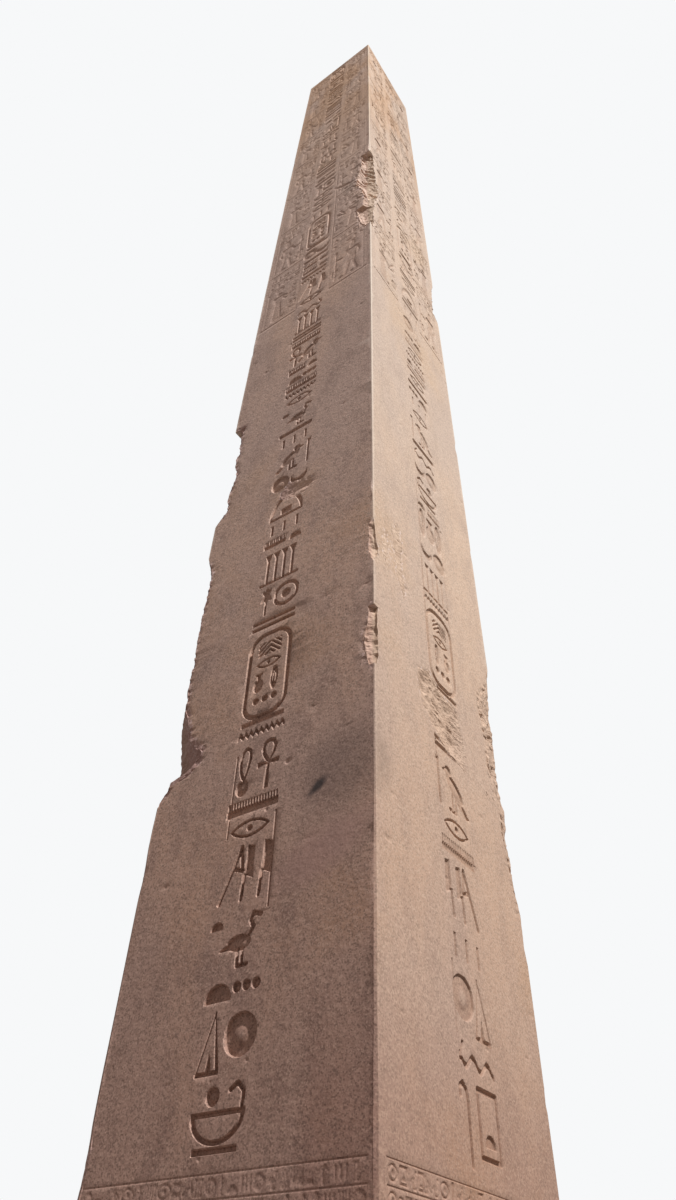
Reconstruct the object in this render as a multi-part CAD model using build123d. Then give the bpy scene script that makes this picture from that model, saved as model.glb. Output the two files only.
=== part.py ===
from build123d import *
import math
import os

# A tall four-sided granite needle: one monolith, shaft and pyramidion cut from a
# single block, on a granite pedestal, on a ground course of sandstone blocks.
# Millimetres, +Z up. The origin is the centre of the underside, at ground level.
# The front face looks along -Y and the right face along +X.

# Monolith
shaft_foot_width = 2650.0
shaft_head_width = 1770.0
shaft_height = 26600.0
shaft_swell = 30.0
shaft_spans = 4
pyramidion_height = 2960.0
worn_tip_width = 45.0

# Pedestal, with the groove that the shaft's foot turned in when it was raised
pedestal_projection = 300.0
pedestal_height = 1500.0
pedestal_edge_wear = 22.0
groove_width = 300.0
groove_depth = 130.0
groove_under_shaft = 110.0

# Ground course: a pinwheel ring of dressed blocks round three long core slabs
course_projection = 325.0
course_height = 400.0
ring_depth = 900.0
ring_block_shares = (0.37, 0.29, 0.34)
core_slab_count = 3
block_joint = 4.0
block_edge_wear = 14.0

# Damage is placed by its height above the lowest carved line of the shaft.
metre = 1000.0
carved_line_height = 2790.0
cutter_margin = 900.0
feather_lift = 24.0
scar_floor_scale = 0.75
scar_mouth_scale = 1.25

pedestal_width = shaft_foot_width + 2 * pedestal_projection
course_width = pedestal_width + 2 * course_projection

pedestal_base_z = course_height
shaft_base_z = pedestal_base_z + pedestal_height
shaft_head_z = shaft_base_z + shaft_height

# Corners of the shaft, as the signs of X and Y
FRONT_RIGHT = (1, -1)
FRONT_LEFT = (-1, -1)
BACK_RIGHT = (1, 1)
BACK_LEFT = (-1, 1)

# Breaks along the arrises. Each station is: metres above the carved line, reach
# along the front or back face, reach along the side face, and hollow, in mm.
# A station with no reach runs the break out to a feather edge on the arris.
BREAKS = {
    "front_right_great_break": (FRONT_RIGHT, [
        (13.13, 100, 88, 8),
        (13.36, 186, 108, 20),
        (13.69, 248, 115, 30),
        (13.97, 290, 118, 35),
        (14.00, 160, 119, 18),
        (14.41, 135, 180, 25),
        (14.60, 170, 225, 40),
        (14.87, 213, 259, 50),
        (15.17, 300, 205, 55),
        (15.53, 282, 172, 50),
        (15.94, 195, 144, 38),
        (16.38, 188, 116, 30),
    ]),
    "front_right_notch": (FRONT_RIGHT, [
        (5.05, 0, 0, 0),
        (5.15, 45, 40, 6),
        (5.24, 69, 70, 12),
        (5.31, 70, 98, 18),
        (5.38, 70, 62, 14),
        (5.52, 70, 35, 10),
        (5.64, 66, 20, 5),
        (5.76, 0, 0, 0),
    ]),
    "front_right_chip": (FRONT_RIGHT, [
        (3.76, 66, 30, 2),
        (3.88, 94, 70, 14),
        (4.04, 127, 58, 18),
        (4.15, 116, 56, 18),
        (4.28, 83, 53, 16),
        (4.42, 72, 52, 18),
        (4.58, 0, 0, 0),
    ]),
    "front_left_overhang": (FRONT_LEFT, [
        (7.03, 0, 0, 0),
        (7.20, 118, 140, 8),
        (7.27, 155, 182, 14),
        (7.51, 132, 155, 14),
        (7.75, 155, 182, 18),
        (7.88, 190, 222, 26),
        (8.27, 145, 170, 20),
        (8.51, 172, 205, 26),
        (8.83, 150, 180, 26),
        (9.04, 190, 215, 24),
    ]),
    "front_left_long_break": (FRONT_LEFT, [
        (2.98, 0, 0, 0),
        (3.06, 26, 28, 1),
        (3.14, 48, 50, 2),
        (3.18, 72, 72, 3),
        (3.22, 115, 110, 4),
        (3.30, 138, 128, 5),
        (3.34, 290, 200, 6),
        (3.42, 420, 245, 10),
        (3.52, 505, 230, 12),
        (3.60, 430, 212, 12),
        (3.68, 330, 195, 12),
        (3.80, 270, 165, 12),
        (3.95, 215, 135, 12),
        (4.15, 150, 125, 10),
        (4.48, 112, 124, 10),
        (5.18, 106, 120, 12),
        (5.60, 106, 119, 12),
        (5.96, 130, 148, 14),
        (6.12, 120, 140, 12),
        (6.30, 72, 84, 8),
        (6.48, 0, 0, 0),
    ]),
    "back_right_upper_chip": (BACK_RIGHT, [
        (13.02, 0, 0, 0),
        (13.20, 95, 105, 10),
        (13.50, 130, 150, 24),
        (13.90, 100, 110, 14),
        (14.20, 60, 65, 6),
        (14.45, 0, 0, 0),
    ]),
    "back_right_long_chip": (BACK_RIGHT, [
        (2.20, 0, 0, 0),
        (2.52, 30, 90, 2),
        (2.82, 55, 150, 4),
        (3.15, 58, 180, 4),
        (3.30, 36, 150, 2),
        (3.48, 50, 200, 4),
        (3.72, 66, 300, 8),
        (3.96, 72, 330, 10),
        (4.34, 64, 340, 10),
        (4.60, 70, 350, 10),
        (4.74, 60, 310, 8),
        (4.88, 50, 150, 6),
        (5.16, 28, 60, 2),
        (5.32, 0, 0, 0),
    ]),
    "back_left_chip": (BACK_LEFT, [
        (9.80, 0, 0, 0),
        (10.05, 90, 80, 8),
        (10.60, 130, 120, 22),
        (11.05, 80, 90, 8),
        (11.20, 0, 0, 0),
    ]),
}

# Shallow scars inside a face. Each outline point is: share of the half width
# from the face's centre, positive to its right as seen, and metres above the line.
SCARS = {
    "front_scar": ("front", 30.0, [
        (-0.15, 6.92), (-0.02, 6.80), (0.18, 6.82), (0.33, 6.90),
        (0.28, 7.02), (0.10, 7.13), (-0.04, 7.17), (-0.10, 7.04),
    ]),
    "right_column_scar": ("right", 34.0, [
        (-0.40, 3.98), (-0.22, 3.66), (0.05, 3.50), (0.28, 3.46), (0.33, 3.72),
        (0.26, 4.12), (0.02, 4.22), (-0.20, 4.34), (-0.38, 4.24),
    ]),
    "right_tall_scar": ("right", 22.0, [
        (-0.70, 5.62), (-0.63, 5.20), (-0.55, 4.92), (-0.49, 5.02),
        (-0.54, 5.46), (-0.52, 5.92), (-0.60, 6.10), (-0.68, 5.95),
    ]),
    "right_small_scar": ("right", 18.0, [
        (-0.87, 5.34), (-0.81, 5.20), (-0.76, 5.42), (-0.75, 5.74), (-0.82, 5.80),
    ]),
}


def half_width(height):
    """Half the shaft's width, at a height above its foot: a straight taper and a swell."""
    share = height / shaft_height
    taper = shaft_foot_width + (shaft_head_width - shaft_foot_width) * share
    return taper / 2 + shaft_swell * 4 * share * (1 - share)


def square_outline(half, z):
    """A square of the shaft, level, centred on the axis."""
    corners = [(-half, -half, z), (half, -half, z), (half, half, z), (-half, half, z)]
    return Wire.make_polygon([Vector(*corner) for corner in corners], close=True)


def whole_needle():
    """The swelling shaft as one smooth loft, with the flat-sided pyramidion on its head."""
    levels = [shaft_height * number / shaft_spans for number in range(shaft_spans + 1)]
    outlines = [square_outline(half_width(level), shaft_base_z + level) for level in levels]
    shaft = Solid.make_loft(outlines)
    tip = square_outline(worn_tip_width / 2, shaft_head_z + pyramidion_height)
    pyramidion = Solid.make_loft([outlines[-1], tip], ruled=True)
    return shaft + pyramidion


def faceted_solid(rings):
    """A closed body of flat facets through rings of like corners, each ring running
    counter-clockwise as seen from the last one."""
    ends = (rings[0][::-1], rings[-1])
    faces = [Face(Wire.make_polygon(ring, close=True)) for ring in ends]
    for lower, upper in zip(rings, rings[1:]):
        for here in range(len(lower)):
            after = (here + 1) % len(lower)
            for corners in ((lower[here], lower[after], upper[after]),
                            (lower[here], upper[after], upper[here])):
                faces.append(Face(Wire.make_polygon(corners, close=True)))
    return Solid(Shell(faces))


def break_section(corner, station):
    """One level of an arris break: two points on the faces, a hollow between them."""
    metres, reach_x, reach_y, hollow = station
    sign_x, sign_y = corner
    height = carved_line_height + metres * metre
    half = half_width(height)
    if reach_x == 0:
        half += feather_lift
        reach_x = reach_y = feather_lift / 2
    z = shaft_base_z + height
    on_front = Vector(sign_x * (half - reach_x), sign_y * half, z)
    on_side = Vector(sign_x * half, sign_y * (half - reach_y), z)
    inward = Vector(-sign_x, -sign_y, 0) * (hollow / math.sqrt(2))
    middle = (on_front + on_side) * 0.5 + inward
    outside = Vector(sign_x * (half + cutter_margin), sign_y * (half + cutter_margin), z)
    section = [on_front, outside, on_side, middle]
    return section if sign_x * sign_y < 0 else section[::-1]


def arris_break(corner, stations):
    """The stone lost at an arris, in flat fractures from level to level."""
    return faceted_solid([break_section(corner, station) for station in stations])


def face_frame(side, metres):
    """A plane on a face of the shaft, X to the right as seen, Z outward, leaning with it."""
    height = carved_line_height + metres * metre
    lean = (half_width(height - metre / 2) - half_width(height + metre / 2)) / metre
    z = shaft_base_z + height
    half = half_width(height)
    if side == "front":
        return Plane(origin=(0, -half, z), x_dir=(1, 0, 0), z_dir=(0, -1, lean))
    return Plane(origin=(half, 0, z), x_dir=(0, 1, 0), z_dir=(1, 0, lean))


def face_scar(side, depth, outline):
    """A shallow bruise: the outline at the face, drawn in to a smaller floor."""
    middle = sum(metres for _, metres in outline) / len(outline)
    frame = face_frame(side, middle)
    rim = []
    for share, metres in outline:
        half = half_width(carved_line_height + metres * metre)
        rim.append(Vector(share * half, (metres - middle) * metre, 0))
    centre = sum(rim, Vector(0, 0, 0)) * (1 / len(rim))

    def level(scale, height):
        return [frame.from_local_coords(centre + (p - centre) * scale + Vector(0, 0, height)) for p in rim]

    return faceted_solid([level(scar_floor_scale, -depth), level(scar_mouth_scale, depth)])


def make_monolith():
    """The needle with its broken arrises and bruised faces."""
    stone = whole_needle()
    for corner, stations in BREAKS.values():
        stone -= arris_break(corner, stations)
    for side, depth, outline in SCARS.values():
        stone -= face_scar(side, depth, outline)
    return stone


def make_pedestal():
    """A square block with worn edges and the turning groove under the shaft's back edge."""
    centre_z = pedestal_base_z + pedestal_height / 2
    block = Pos(0, 0, centre_z) * Box(pedestal_width, pedestal_width, pedestal_height)
    block = chamfer(block.edges().filter_by(Axis.Z), pedestal_edge_wear)
    top_z = pedestal_base_z + pedestal_height
    inner_y = shaft_foot_width / 2 - groove_under_shaft
    outline = [
        (inner_y, top_z + groove_depth),
        (inner_y, top_z - groove_depth),
        (inner_y + groove_width / 2, top_z - groove_depth),
        (inner_y + groove_width, top_z),
        (inner_y + groove_width, top_z + groove_depth),
    ]
    profile = Plane.YZ * Polygon(*outline, align=None)
    return block - extrude(profile, amount=pedestal_width, both=True)


def course_block(x_low, x_high, y_low, y_high):
    """One dressed block of the ground course, its upper edges worn."""
    block = Pos((x_low + x_high) / 2, (y_low + y_high) / 2, course_height / 2) * Box(
        x_high - x_low, y_high - y_low, course_height)
    return chamfer(block.edges().group_by(Axis.Z)[-1], block_edge_wear)


def ring_run():
    """Ends of the blocks along one side, from its free corner, with a joint after each."""
    run = course_width - ring_depth
    ends = []
    start = -course_width / 2
    for share in ring_block_shares:
        ends.append((start, start + run * share - block_joint))
        start += run * share
    return ends


def make_ring_blocks():
    """Four like runs, each turned a quarter from the last, so every corner is bonded."""
    blocks = {}
    outer = course_width / 2
    for turn, side in enumerate(("front", "right", "back", "left")):
        for number, (start, end) in enumerate(ring_run(), 1):
            block = course_block(start, end, -outer, -outer + ring_depth)
            blocks[f"ground_course_{side}_{number}"] = Rot(0, 0, 90 * turn) * block
    return blocks


def make_core_slabs():
    """Long slabs side by side within the ring."""
    blocks = {}
    inner = course_width / 2 - ring_depth - block_joint
    pitch = (2 * inner + block_joint) / core_slab_count
    for number in range(core_slab_count):
        start = -inner + pitch * number
        blocks[f"ground_course_core_{number + 1}"] = course_block(
            start, start + pitch - block_joint, -inner, inner)
    return blocks


def main():
    nodes = {"monolith": make_monolith(), "pedestal": make_pedestal()}
    nodes.update(make_ring_blocks())
    nodes.update(make_core_slabs())
    os.makedirs("parts", exist_ok=True)
    for name, solid in nodes.items():
        export_step(solid, f"parts/{name}.step")


main()
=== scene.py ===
"""Looks of a tall four-sided granite needle: sunk carving, broken arrises, weathered stone.

Every length is in metres, +Z up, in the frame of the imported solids. The front face
looks along -Y and the right face along +X.
"""
import math

import bpy
import numpy as np
from mathutils import Matrix, Vector


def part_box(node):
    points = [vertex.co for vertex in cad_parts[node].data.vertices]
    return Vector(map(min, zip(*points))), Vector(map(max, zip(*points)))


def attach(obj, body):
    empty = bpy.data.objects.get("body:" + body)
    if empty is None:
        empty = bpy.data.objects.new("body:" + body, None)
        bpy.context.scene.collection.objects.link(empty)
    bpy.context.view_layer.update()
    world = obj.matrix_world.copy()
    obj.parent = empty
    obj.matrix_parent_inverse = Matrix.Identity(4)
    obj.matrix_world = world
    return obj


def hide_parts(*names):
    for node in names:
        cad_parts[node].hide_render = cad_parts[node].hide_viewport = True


bl_info = {
    "name": "Granite needle",
    "version": (1, 0, 0),
    "blender": (4, 5, 0),
    "location": "3D View > Sidebar > Needle",
    "description": "Carved and weathered finish for a granite needle on its pedestal",
    "category": "Object",
}

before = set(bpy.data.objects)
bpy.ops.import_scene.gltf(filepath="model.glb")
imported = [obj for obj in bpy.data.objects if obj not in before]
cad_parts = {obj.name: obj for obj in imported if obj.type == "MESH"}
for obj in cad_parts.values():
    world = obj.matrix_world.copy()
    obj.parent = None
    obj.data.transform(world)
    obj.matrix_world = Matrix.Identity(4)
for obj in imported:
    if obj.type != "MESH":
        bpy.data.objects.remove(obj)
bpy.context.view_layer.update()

# The monolith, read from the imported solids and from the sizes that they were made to
MONOLITH_LOW, MONOLITH_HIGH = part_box("monolith")
FOOT_Z = MONOLITH_LOW.z
FOOT_HALF = MONOLITH_HIGH.x
PYRAMIDION_HEIGHT = 2.96
HEAD_Z = MONOLITH_HIGH.z - PYRAMIDION_HEIGHT
SHAFT_HEIGHT = HEAD_Z - FOOT_Z
HEAD_HALF = 0.885
TIP_HALF = 0.0225
SWELL = 0.03
LINE_Z = FOOT_Z + 2.79

# Faces in turn, counter-clockwise from above: outward normal and the way to its right
FACES = {
    "front": (np.array([0.0, -1.0, 0.0]), np.array([1.0, 0.0, 0.0])),
    "right": (np.array([1.0, 0.0, 0.0]), np.array([0.0, 1.0, 0.0])),
    "back": (np.array([0.0, 1.0, 0.0]), np.array([-1.0, 0.0, 0.0])),
    "left": (np.array([-1.0, 0.0, 0.0]), np.array([0.0, -1.0, 0.0])),
}
FACE_ORDER = list(FACES)
SEEN_FACES = ("front", "right")

# Which of an arris's two reaches runs along a face
OWN_REACH = {"front": 0, "right": 1, "back": 0, "left": 1}

# What the finishes read from the meshes, and the attributes that carry it; the rubbed cover also places a
# painted highlight along the arrises
COVERS = {"broken": "break_cover", "carved": "cut_cover", "rubbed": "rub_and_highlight_cover"}

# The arris at the right-hand end of each face
ARRIS_AFTER = {"front": "front_right", "right": "back_right", "back": "back_left", "left": "front_left"}

# Breaks, as in the solids: metres above the carved line, then in millimetres the reach
# along the front or back face, the reach along the side face, and the hollow. No reach
# means a feather edge. Only the head of the lowest chip, an abrupt ledge here, runs out
# more gently in the solids.
BREAKS = {
    "front_right": [
        [(13.13, 100, 88, 8), (13.36, 186, 108, 20), (13.69, 248, 115, 30), (13.97, 290, 118, 35),
         (14.00, 160, 119, 18), (14.41, 135, 180, 25), (14.60, 170, 225, 40), (14.87, 213, 259, 50),
         (15.17, 300, 205, 55), (15.53, 282, 172, 50), (15.94, 195, 144, 38), (16.38, 188, 116, 30)],
        [(5.05, 0, 0, 0), (5.15, 45, 40, 6), (5.24, 69, 70, 12), (5.31, 70, 98, 18), (5.38, 70, 62, 14),
         (5.52, 70, 35, 10), (5.64, 66, 20, 5), (5.76, 0, 0, 0)],
        [(3.76, 66, 30, 2), (3.88, 94, 70, 4), (4.04, 127, 58, 4), (4.15, 116, 56, 4),
         (4.28, 83, 53, 6), (4.40, 76, 56, 20), (4.48, 70, 61, 44)],
    ],
    "front_left": [
        [(7.03, 0, 0, 0), (7.20, 118, 140, 8), (7.27, 155, 182, 14), (7.51, 132, 155, 14),
         (7.75, 155, 182, 18), (7.88, 190, 222, 26), (8.27, 145, 170, 20), (8.51, 172, 205, 26),
         (8.83, 150, 180, 26), (9.04, 190, 215, 24)],
        [(2.98, 0, 0, 0), (3.06, 26, 28, 1), (3.14, 48, 50, 2), (3.18, 72, 72, 3), (3.22, 115, 110, 4),
         (3.30, 138, 128, 5), (3.34, 290, 200, 6), (3.42, 420, 245, 10), (3.52, 505, 230, 12),
         (3.60, 430, 212, 12), (3.68, 330, 195, 12), (3.80, 270, 165, 12), (3.95, 215, 135, 12),
         (4.15, 150, 125, 10), (4.48, 112, 124, 10), (5.18, 106, 120, 12), (5.60, 106, 119, 12),
         (5.96, 130, 148, 14), (6.12, 120, 140, 12), (6.30, 72, 84, 8), (6.48, 0, 0, 0)],
    ],
    "back_right": [
        [(13.02, 0, 0, 0), (13.20, 95, 105, 10), (13.50, 130, 150, 24), (13.90, 100, 110, 14),
         (14.20, 60, 65, 6), (14.45, 0, 0, 0)],
        [(2.20, 0, 0, 0), (2.52, 30, 90, 2), (2.82, 55, 150, 4), (3.15, 58, 180, 4), (3.30, 36, 150, 2),
         (3.48, 50, 200, 4), (3.72, 66, 300, 8), (3.96, 72, 330, 10), (4.34, 64, 340, 10),
         (4.60, 70, 350, 10), (4.74, 60, 310, 8), (4.88, 50, 150, 6), (5.16, 28, 60, 2), (5.32, 0, 0, 0)],
    ],
    "back_left": [
        [(9.80, 0, 0, 0), (10.05, 90, 80, 8), (10.60, 130, 120, 22), (11.05, 80, 90, 8), (11.20, 0, 0, 0)],
    ],
}

# Scars, on the front and right faces as in the solids: depth, then the outline as shares of
# the half width and metres above the carved line
SCARS = {
    "front": [
        (0.030, [(-0.15, 6.92), (-0.02, 6.80), (0.18, 6.82), (0.33, 6.90),
                 (0.28, 7.02), (0.10, 7.13), (-0.04, 7.17), (-0.10, 7.04)]),
    ],
    "right": [
        (0.034, [(-0.40, 3.98), (-0.22, 3.66), (0.05, 3.50), (0.28, 3.46), (0.33, 3.72),
                 (0.26, 4.12), (0.02, 4.22), (-0.20, 4.34), (-0.38, 4.24)]),
        (0.022, [(-0.70, 5.62), (-0.63, 5.20), (-0.55, 4.92), (-0.49, 5.02),
                 (-0.54, 5.46), (-0.52, 5.92), (-0.60, 6.10), (-0.68, 5.95)]),
        (0.018, [(-0.87, 5.34), (-0.81, 5.20), (-0.76, 5.42), (-0.75, 5.74), (-0.82, 5.80)]),
    ],
    "back": [(0.024, [(0.05, 8.50), (0.25, 8.46), (0.36, 8.62), (0.24, 8.78), (0.08, 8.72)])],
    "left": [(0.024, [(-0.46, 6.02), (-0.26, 5.94), (-0.12, 6.10), (-0.24, 6.30), (-0.42, 6.24)])],
}

# Smooth worn hollows: share of the half width, metres above the carved line, half
# length, half breadth, lean in degrees from level, and depth
HOLLOWS = {
    "front": [(0.45, 15.52, 0.38, 0.075, -27, 0.034), (0.77, 14.46, 0.15, 0.05, -40, 0.024),
              (0.66, 14.21, 0.22, 0.055, -36, 0.026), (0.68, 16.00, 0.19, 0.05, -6, 0.024),
              (0.72, 15.10, 0.20, 0.05, -30, 0.022)],
    "right": [(-0.72, 5.45, 0.42, 0.11, 84, 0.008)],
    "back": [(-0.30, 13.10, 0.40, 0.14, 40, 0.020)],
    "left": [(0.35, 11.90, 0.36, 0.12, 65, 0.018)],
}

# Carved layout: register lines in metres above the carved line, foot lines below it, and
# the column of signs and the panels beside it as shares of the half width
REGISTER_LINES = (11.67, 13.45, 15.20, 16.80, 18.35, 19.75, 21.15, 22.40, 23.62)
FOOT_LINE_COUNT = 8
FOOT_LINE_PITCH = 0.1417
FOOT_LINE_HALF = 0.006
REGISTER_LINE_HALF = 0.013
COLUMN_HALF_SHARE = 0.225
COLUMN_CENTRE_SHARE = {"front": -0.02, "right": 0.05, "back": 0.02, "left": -0.03}
PANEL_INNER_SHARE = 0.285
PANEL_OUTER_SHARE = 0.925
PANEL_DEPTH_SHARE = {"front": 0.6, "right": 1.25, "back": 0.9, "left": 0.9}
FOOT_DEPTH_SHARE = {"front": 0.6, "right": 1.6, "back": 1.0, "left": 1.0}
SIGN_DEPTH_SHARE = {"front": (1.0, 0.42), "right": (0.62, 0.50), "back": (0.8, 0.5), "left": (0.8, 0.5)}

# Long upright strokes beside the signs: share of the half width, foot and head above the line
LONG_STROKES = {
    "front": [(-0.215, 2.45, 3.30), (0.20, 1.75, 2.60)],
    "right": [(-0.175, 4.75, 7.40), (0.27, 5.30, 6.90), (-0.165, 2.90, 3.55), (0.285, 2.75, 3.30),
              (-0.16, 0.95, 1.50)],
    "back": [(-0.20, 3.10, 4.60), (0.23, 3.10, 4.60)],
    "left": [(-0.25, 5.40, 7.10), (0.18, 5.40, 7.10)],
}

# Half the width of an upright stroke and of a ruled scratch, and how fast a level line ends
STROKE_HALF = 0.006
SCRATCH_HALF = 0.015
LINE_END = 0.01

# The depth of the signs goes over from its lower to its upper share between these heights
SIGN_DEPTH_CHANGE = (LINE_Z + 5, LINE_Z + 17)

# Ruled lines of a register: share of its height, and of the panel's depth
RULED_LINES = ((0.955, 0.6), (0.825, 0.8), (0.69, 0.6), (0.045, 0.5))

# Small signs of a foot line: half height, least half width and how much it varies, gap
FOOT_SIGN_HALF = 0.052
FOOT_SIGN_WIDTH = 0.030
FOOT_SIGN_GAP = 0.012
FOOT_SIGN_SEED = 5

# Drums of the monolith, foot to tip: metres above the foot, row step, column step in
# the carved band and in the margins, and share of the triangles kept. No sign crosses
# from one drum into the next.
DRUMS = [
    ("shaft_foot", 0.0, 1.60, 0.050, 0.060, 0.060, 1.0),
    ("shaft_foot_lines_1", 1.60, 2.38, 0.013, 0.013, 0.013, 0.40),
    ("shaft_foot_lines_2", 2.38, 2.85, 0.0068, 0.0075, 0.0075, 0.45),
    ("shaft_lower_1", 2.85, 4.60, 0.007, 0.007, 0.040, 0.38),
    ("shaft_lower_2", 4.60, 6.20, 0.008, 0.008, 0.040, 0.38),
    ("shaft_lower_3", 6.20, 8.80, 0.010, 0.010, 0.040, 0.38),
    ("shaft_middle_1", 8.80, 11.60, 0.012, 0.011, 0.040, 0.40),
    ("shaft_middle_2", 11.60, 14.40, 0.0135, 0.012, 0.040, 0.42),
    ("shaft_upper_1", 14.40, 17.93, 0.015, 0.015, 0.016, 0.42),
    ("shaft_upper_2", 17.93, 21.08, 0.016, 0.016, 0.016, 0.42),
    ("shaft_upper_3", 21.08, 23.88, 0.016, 0.016, 0.017, 0.45),
    ("shaft_upper_4", 23.88, 26.60, 0.017, 0.017, 0.018, 0.45),
    ("pyramidion", 26.60, 29.56, 0.024, 0.024, 0.026, 0.35),
]
FIRST_CARVED_DRUM = 3

# How much coarser the unseen faces are, a sign's wall in column steps, the columns on half
# an arris, and the turn from which an edge stays hard
UNSEEN_STEP_SCALE = 2.0
WALL_STEPS = 0.95
ARRIS_STEPS = 14
UNSEEN_ARRIS_STEPS = 7
DRUM_SHARP_DEGREES = 32
BLOCK_SHARP_DEGREES = 40

# Where a break's section is deepest, as a share from its front or back end: below this
# height and above it
BREAK_MIDDLE_Z = LINE_Z + 8
BREAK_DEEPEST = {"front_right": (0.75, 0.42), "front_left": (0.5, 0.5), "back_right": (0.5, 0.5),
                 "back_left": (0.5, 0.5)}
PITTED_ARRIS = "back_right"

# Worn arrises: the least rounding, what the foot adds to it and up to where above the
# carved line, the least reach of a break, and how far up and down its rim is felt
ROUNDING = 0.008
FOOT_ROUNDING = 0.036
FOOT_ROUNDING_RISE = 4.5
LEAST_REACH = 0.006
RIM_RISE = 0.05

# The layers of the great break: how many to a metre, and where they begin
LAYERS_PER_METRE = 7.0
LAYERS_Z = (LINE_Z + 14.15, LINE_Z + 14.45)

# Pits in the faces: the cell that may hold one, how many do, and where their noise starts
PIT_CELL = 0.42
PIT_CHANCE = 0.3
PIT_SEED = 40

# The room about a scar's outline that its ragged rim can reach
SCAR_MARGIN = 0.08

# The thinnest wall of a carved sign, and how deep one counts as fully cut, which takes the full painted shade
# of the cuts
LEAST_WALL = 0.009
FULL_CUT = 0.012

# Dressed faces: how uneven they are, how deep they crumble along a break, and how far from
# an arris they are rubbed and take a painted highlight
UNEVEN = 0.0025
CRUMB_DEPTH = 0.018
RUBBED_AND_LIT_WIDTH = 0.045

# Patches on the front face: place, half size, lean in degrees, colour and strength, and how
# deep they reach into the stone
PATCHES = [
    ((0.92, -1.25, LINE_Z + 2.80), (0.46, 0.42), 30, "cloud", 0.42),
    ((0.72, -1.26, LINE_Z + 2.08), (0.60, 0.24), 20, "wiped", 0.6),
    # Over the worn hollows left of the great break: a dark cloud that is partly dirt and partly painted shade
    ((0.72, -1.05, LINE_Z + 15.4), (0.22, 0.42), -20, "cloud", 0.5),
    ((0.683, -1.255, LINE_Z + 2.69), (0.12, 0.055), 38, "stain", 1.0),
]
PATCH_DEPTH = 0.3


def linear(hex_colour):
    """An sRGB hex colour as the linear values that a shader takes."""
    parts = np.array([int(hex_colour[i:i + 2], 16) for i in (1, 3, 5)]) / 255
    low = parts / 12.92
    high = ((parts + 0.055) / 1.055) ** 2.4
    return tuple(float(v) for v in np.where(parts <= 0.04045, low, high)) + (1.0,)


# Noise

def lattice(x, y, z, seed):
    """A fixed pseudo-random value between 0 and 1 at each whole-number place."""
    mixed = (x * 73856093) ^ (y * 19349663) ^ (z * 83492791) ^ (seed * 265443576)
    mixed = mixed & 0xFFFFFFFF
    mixed = ((mixed ^ (mixed >> 13)) * 1540483477) & 0xFFFFFFFF
    mixed = ((mixed ^ (mixed >> 15)) * 668265263) & 0xFFFFFFFF
    return ((mixed ^ (mixed >> 16)) & 0xFFFFFF) / float(0xFFFFFF)


def noise(x, y, z, seed=0):
    """Value noise: corner values of each unit cell, blended by smooth steps along the three ways."""
    x, y, z = np.broadcast_arrays(x, y, z)
    cells = [np.floor(v).astype(np.int64) for v in (x, y, z)]
    blend = []
    for value, cell in zip((x, y, z), cells):
        part = value - cell
        blend.append(part * part * (3 - 2 * part))
    total = np.zeros(x.shape)
    for corner in range(8):
        steps = [(corner >> bit) & 1 for bit in range(3)]
        weight = np.ones(x.shape)
        for step, share in zip(steps, blend):
            weight = weight * (share if step else 1 - share)
        total += weight * lattice(cells[0] + steps[0], cells[1] + steps[1], cells[2] + steps[2], seed)
    return total


def smooth_step(value, low, high):
    """0 below low, 1 above high, and a smooth rise between."""
    share = np.clip((value - low) / (high - low), 0, 1)
    return share * share * (3 - 2 * share)


# Outlines as distances: below zero inside, in the motif's own units

def disc(x, y, centre_x, centre_y, radius):
    """Distance to a round outline."""
    return np.hypot(x - centre_x, y - centre_y) - radius


def oval(x, y, centre_x, centre_y, radius_x, radius_y):
    """Distance to an oval outline, near enough: a round one, stretched."""
    stretched = np.hypot((x - centre_x) / radius_x, (y - centre_y) / radius_y)
    return (stretched - 1) * min(radius_x, radius_y)


def box(x, y, centre_x, centre_y, half_x, half_y):
    """Distance to an upright rectangle."""
    away_x = np.abs(x - centre_x) - half_x
    away_y = np.abs(y - centre_y) - half_y
    outside = np.hypot(np.maximum(away_x, 0), np.maximum(away_y, 0))
    return outside + np.minimum(np.maximum(away_x, away_y), 0)


def line(x, y, start, end):
    """Distance to a straight stroke's middle."""
    run = (end[0] - start[0], end[1] - start[1])
    along = ((x - start[0]) * run[0] + (y - start[1]) * run[1]) / (run[0] ** 2 + run[1] ** 2)
    along = np.clip(along, 0, 1)
    return np.hypot(x - start[0] - along * run[0], y - start[1] - along * run[1])


def trail(x, y, points):
    """Distance to a bent stroke through the points."""
    return np.minimum.reduce([line(x, y, a, b) for a, b in zip(points, points[1:])])


def polygon(x, y, points):
    """Distance to a filled outline with straight sides: the nearest side, below zero inside."""
    nearest = trail(x, y, points + points[:1])
    inside = np.zeros(x.shape, bool)
    for (ax, ay), (bx, by) in zip(points, points[1:] + points[:1]):
        crosses = (ay > y) != (by > y)
        reach = ax + (y - ay) * (bx - ax) / (by - ay if by != ay else 1e-9)
        inside ^= crosses & (x < reach)
    return np.where(inside, -nearest, nearest)


DISH = 0.14
DISH_REACH = 0.35


def sunk(distance, soft):
    """A floor cut down inside an outline, its wall as wide as soft, its middle slightly dished."""
    wall = np.clip(0.5 - distance / soft, 0, 1)
    return wall * (1 - DISH + DISH * np.clip(-distance / DISH_REACH, 0, 1))


def groove(distance, half_width, soft):
    """A flat-bottomed cut along a stroke, its walls as wide as soft, never narrower than they are."""
    return np.clip(0.5 + (max(half_width, 0.7 * soft) - np.abs(distance)) / soft, 0, 1)


def leaning_oval(x, y, cosine, sine, centre_x, centre_y, radius_x, radius_y):
    """Distance to an oval that leans by the angle with this cosine and sine."""
    return oval(x * cosine + y * sine, -x * sine + y * cosine, centre_x, centre_y, radius_x, radius_y)


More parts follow.
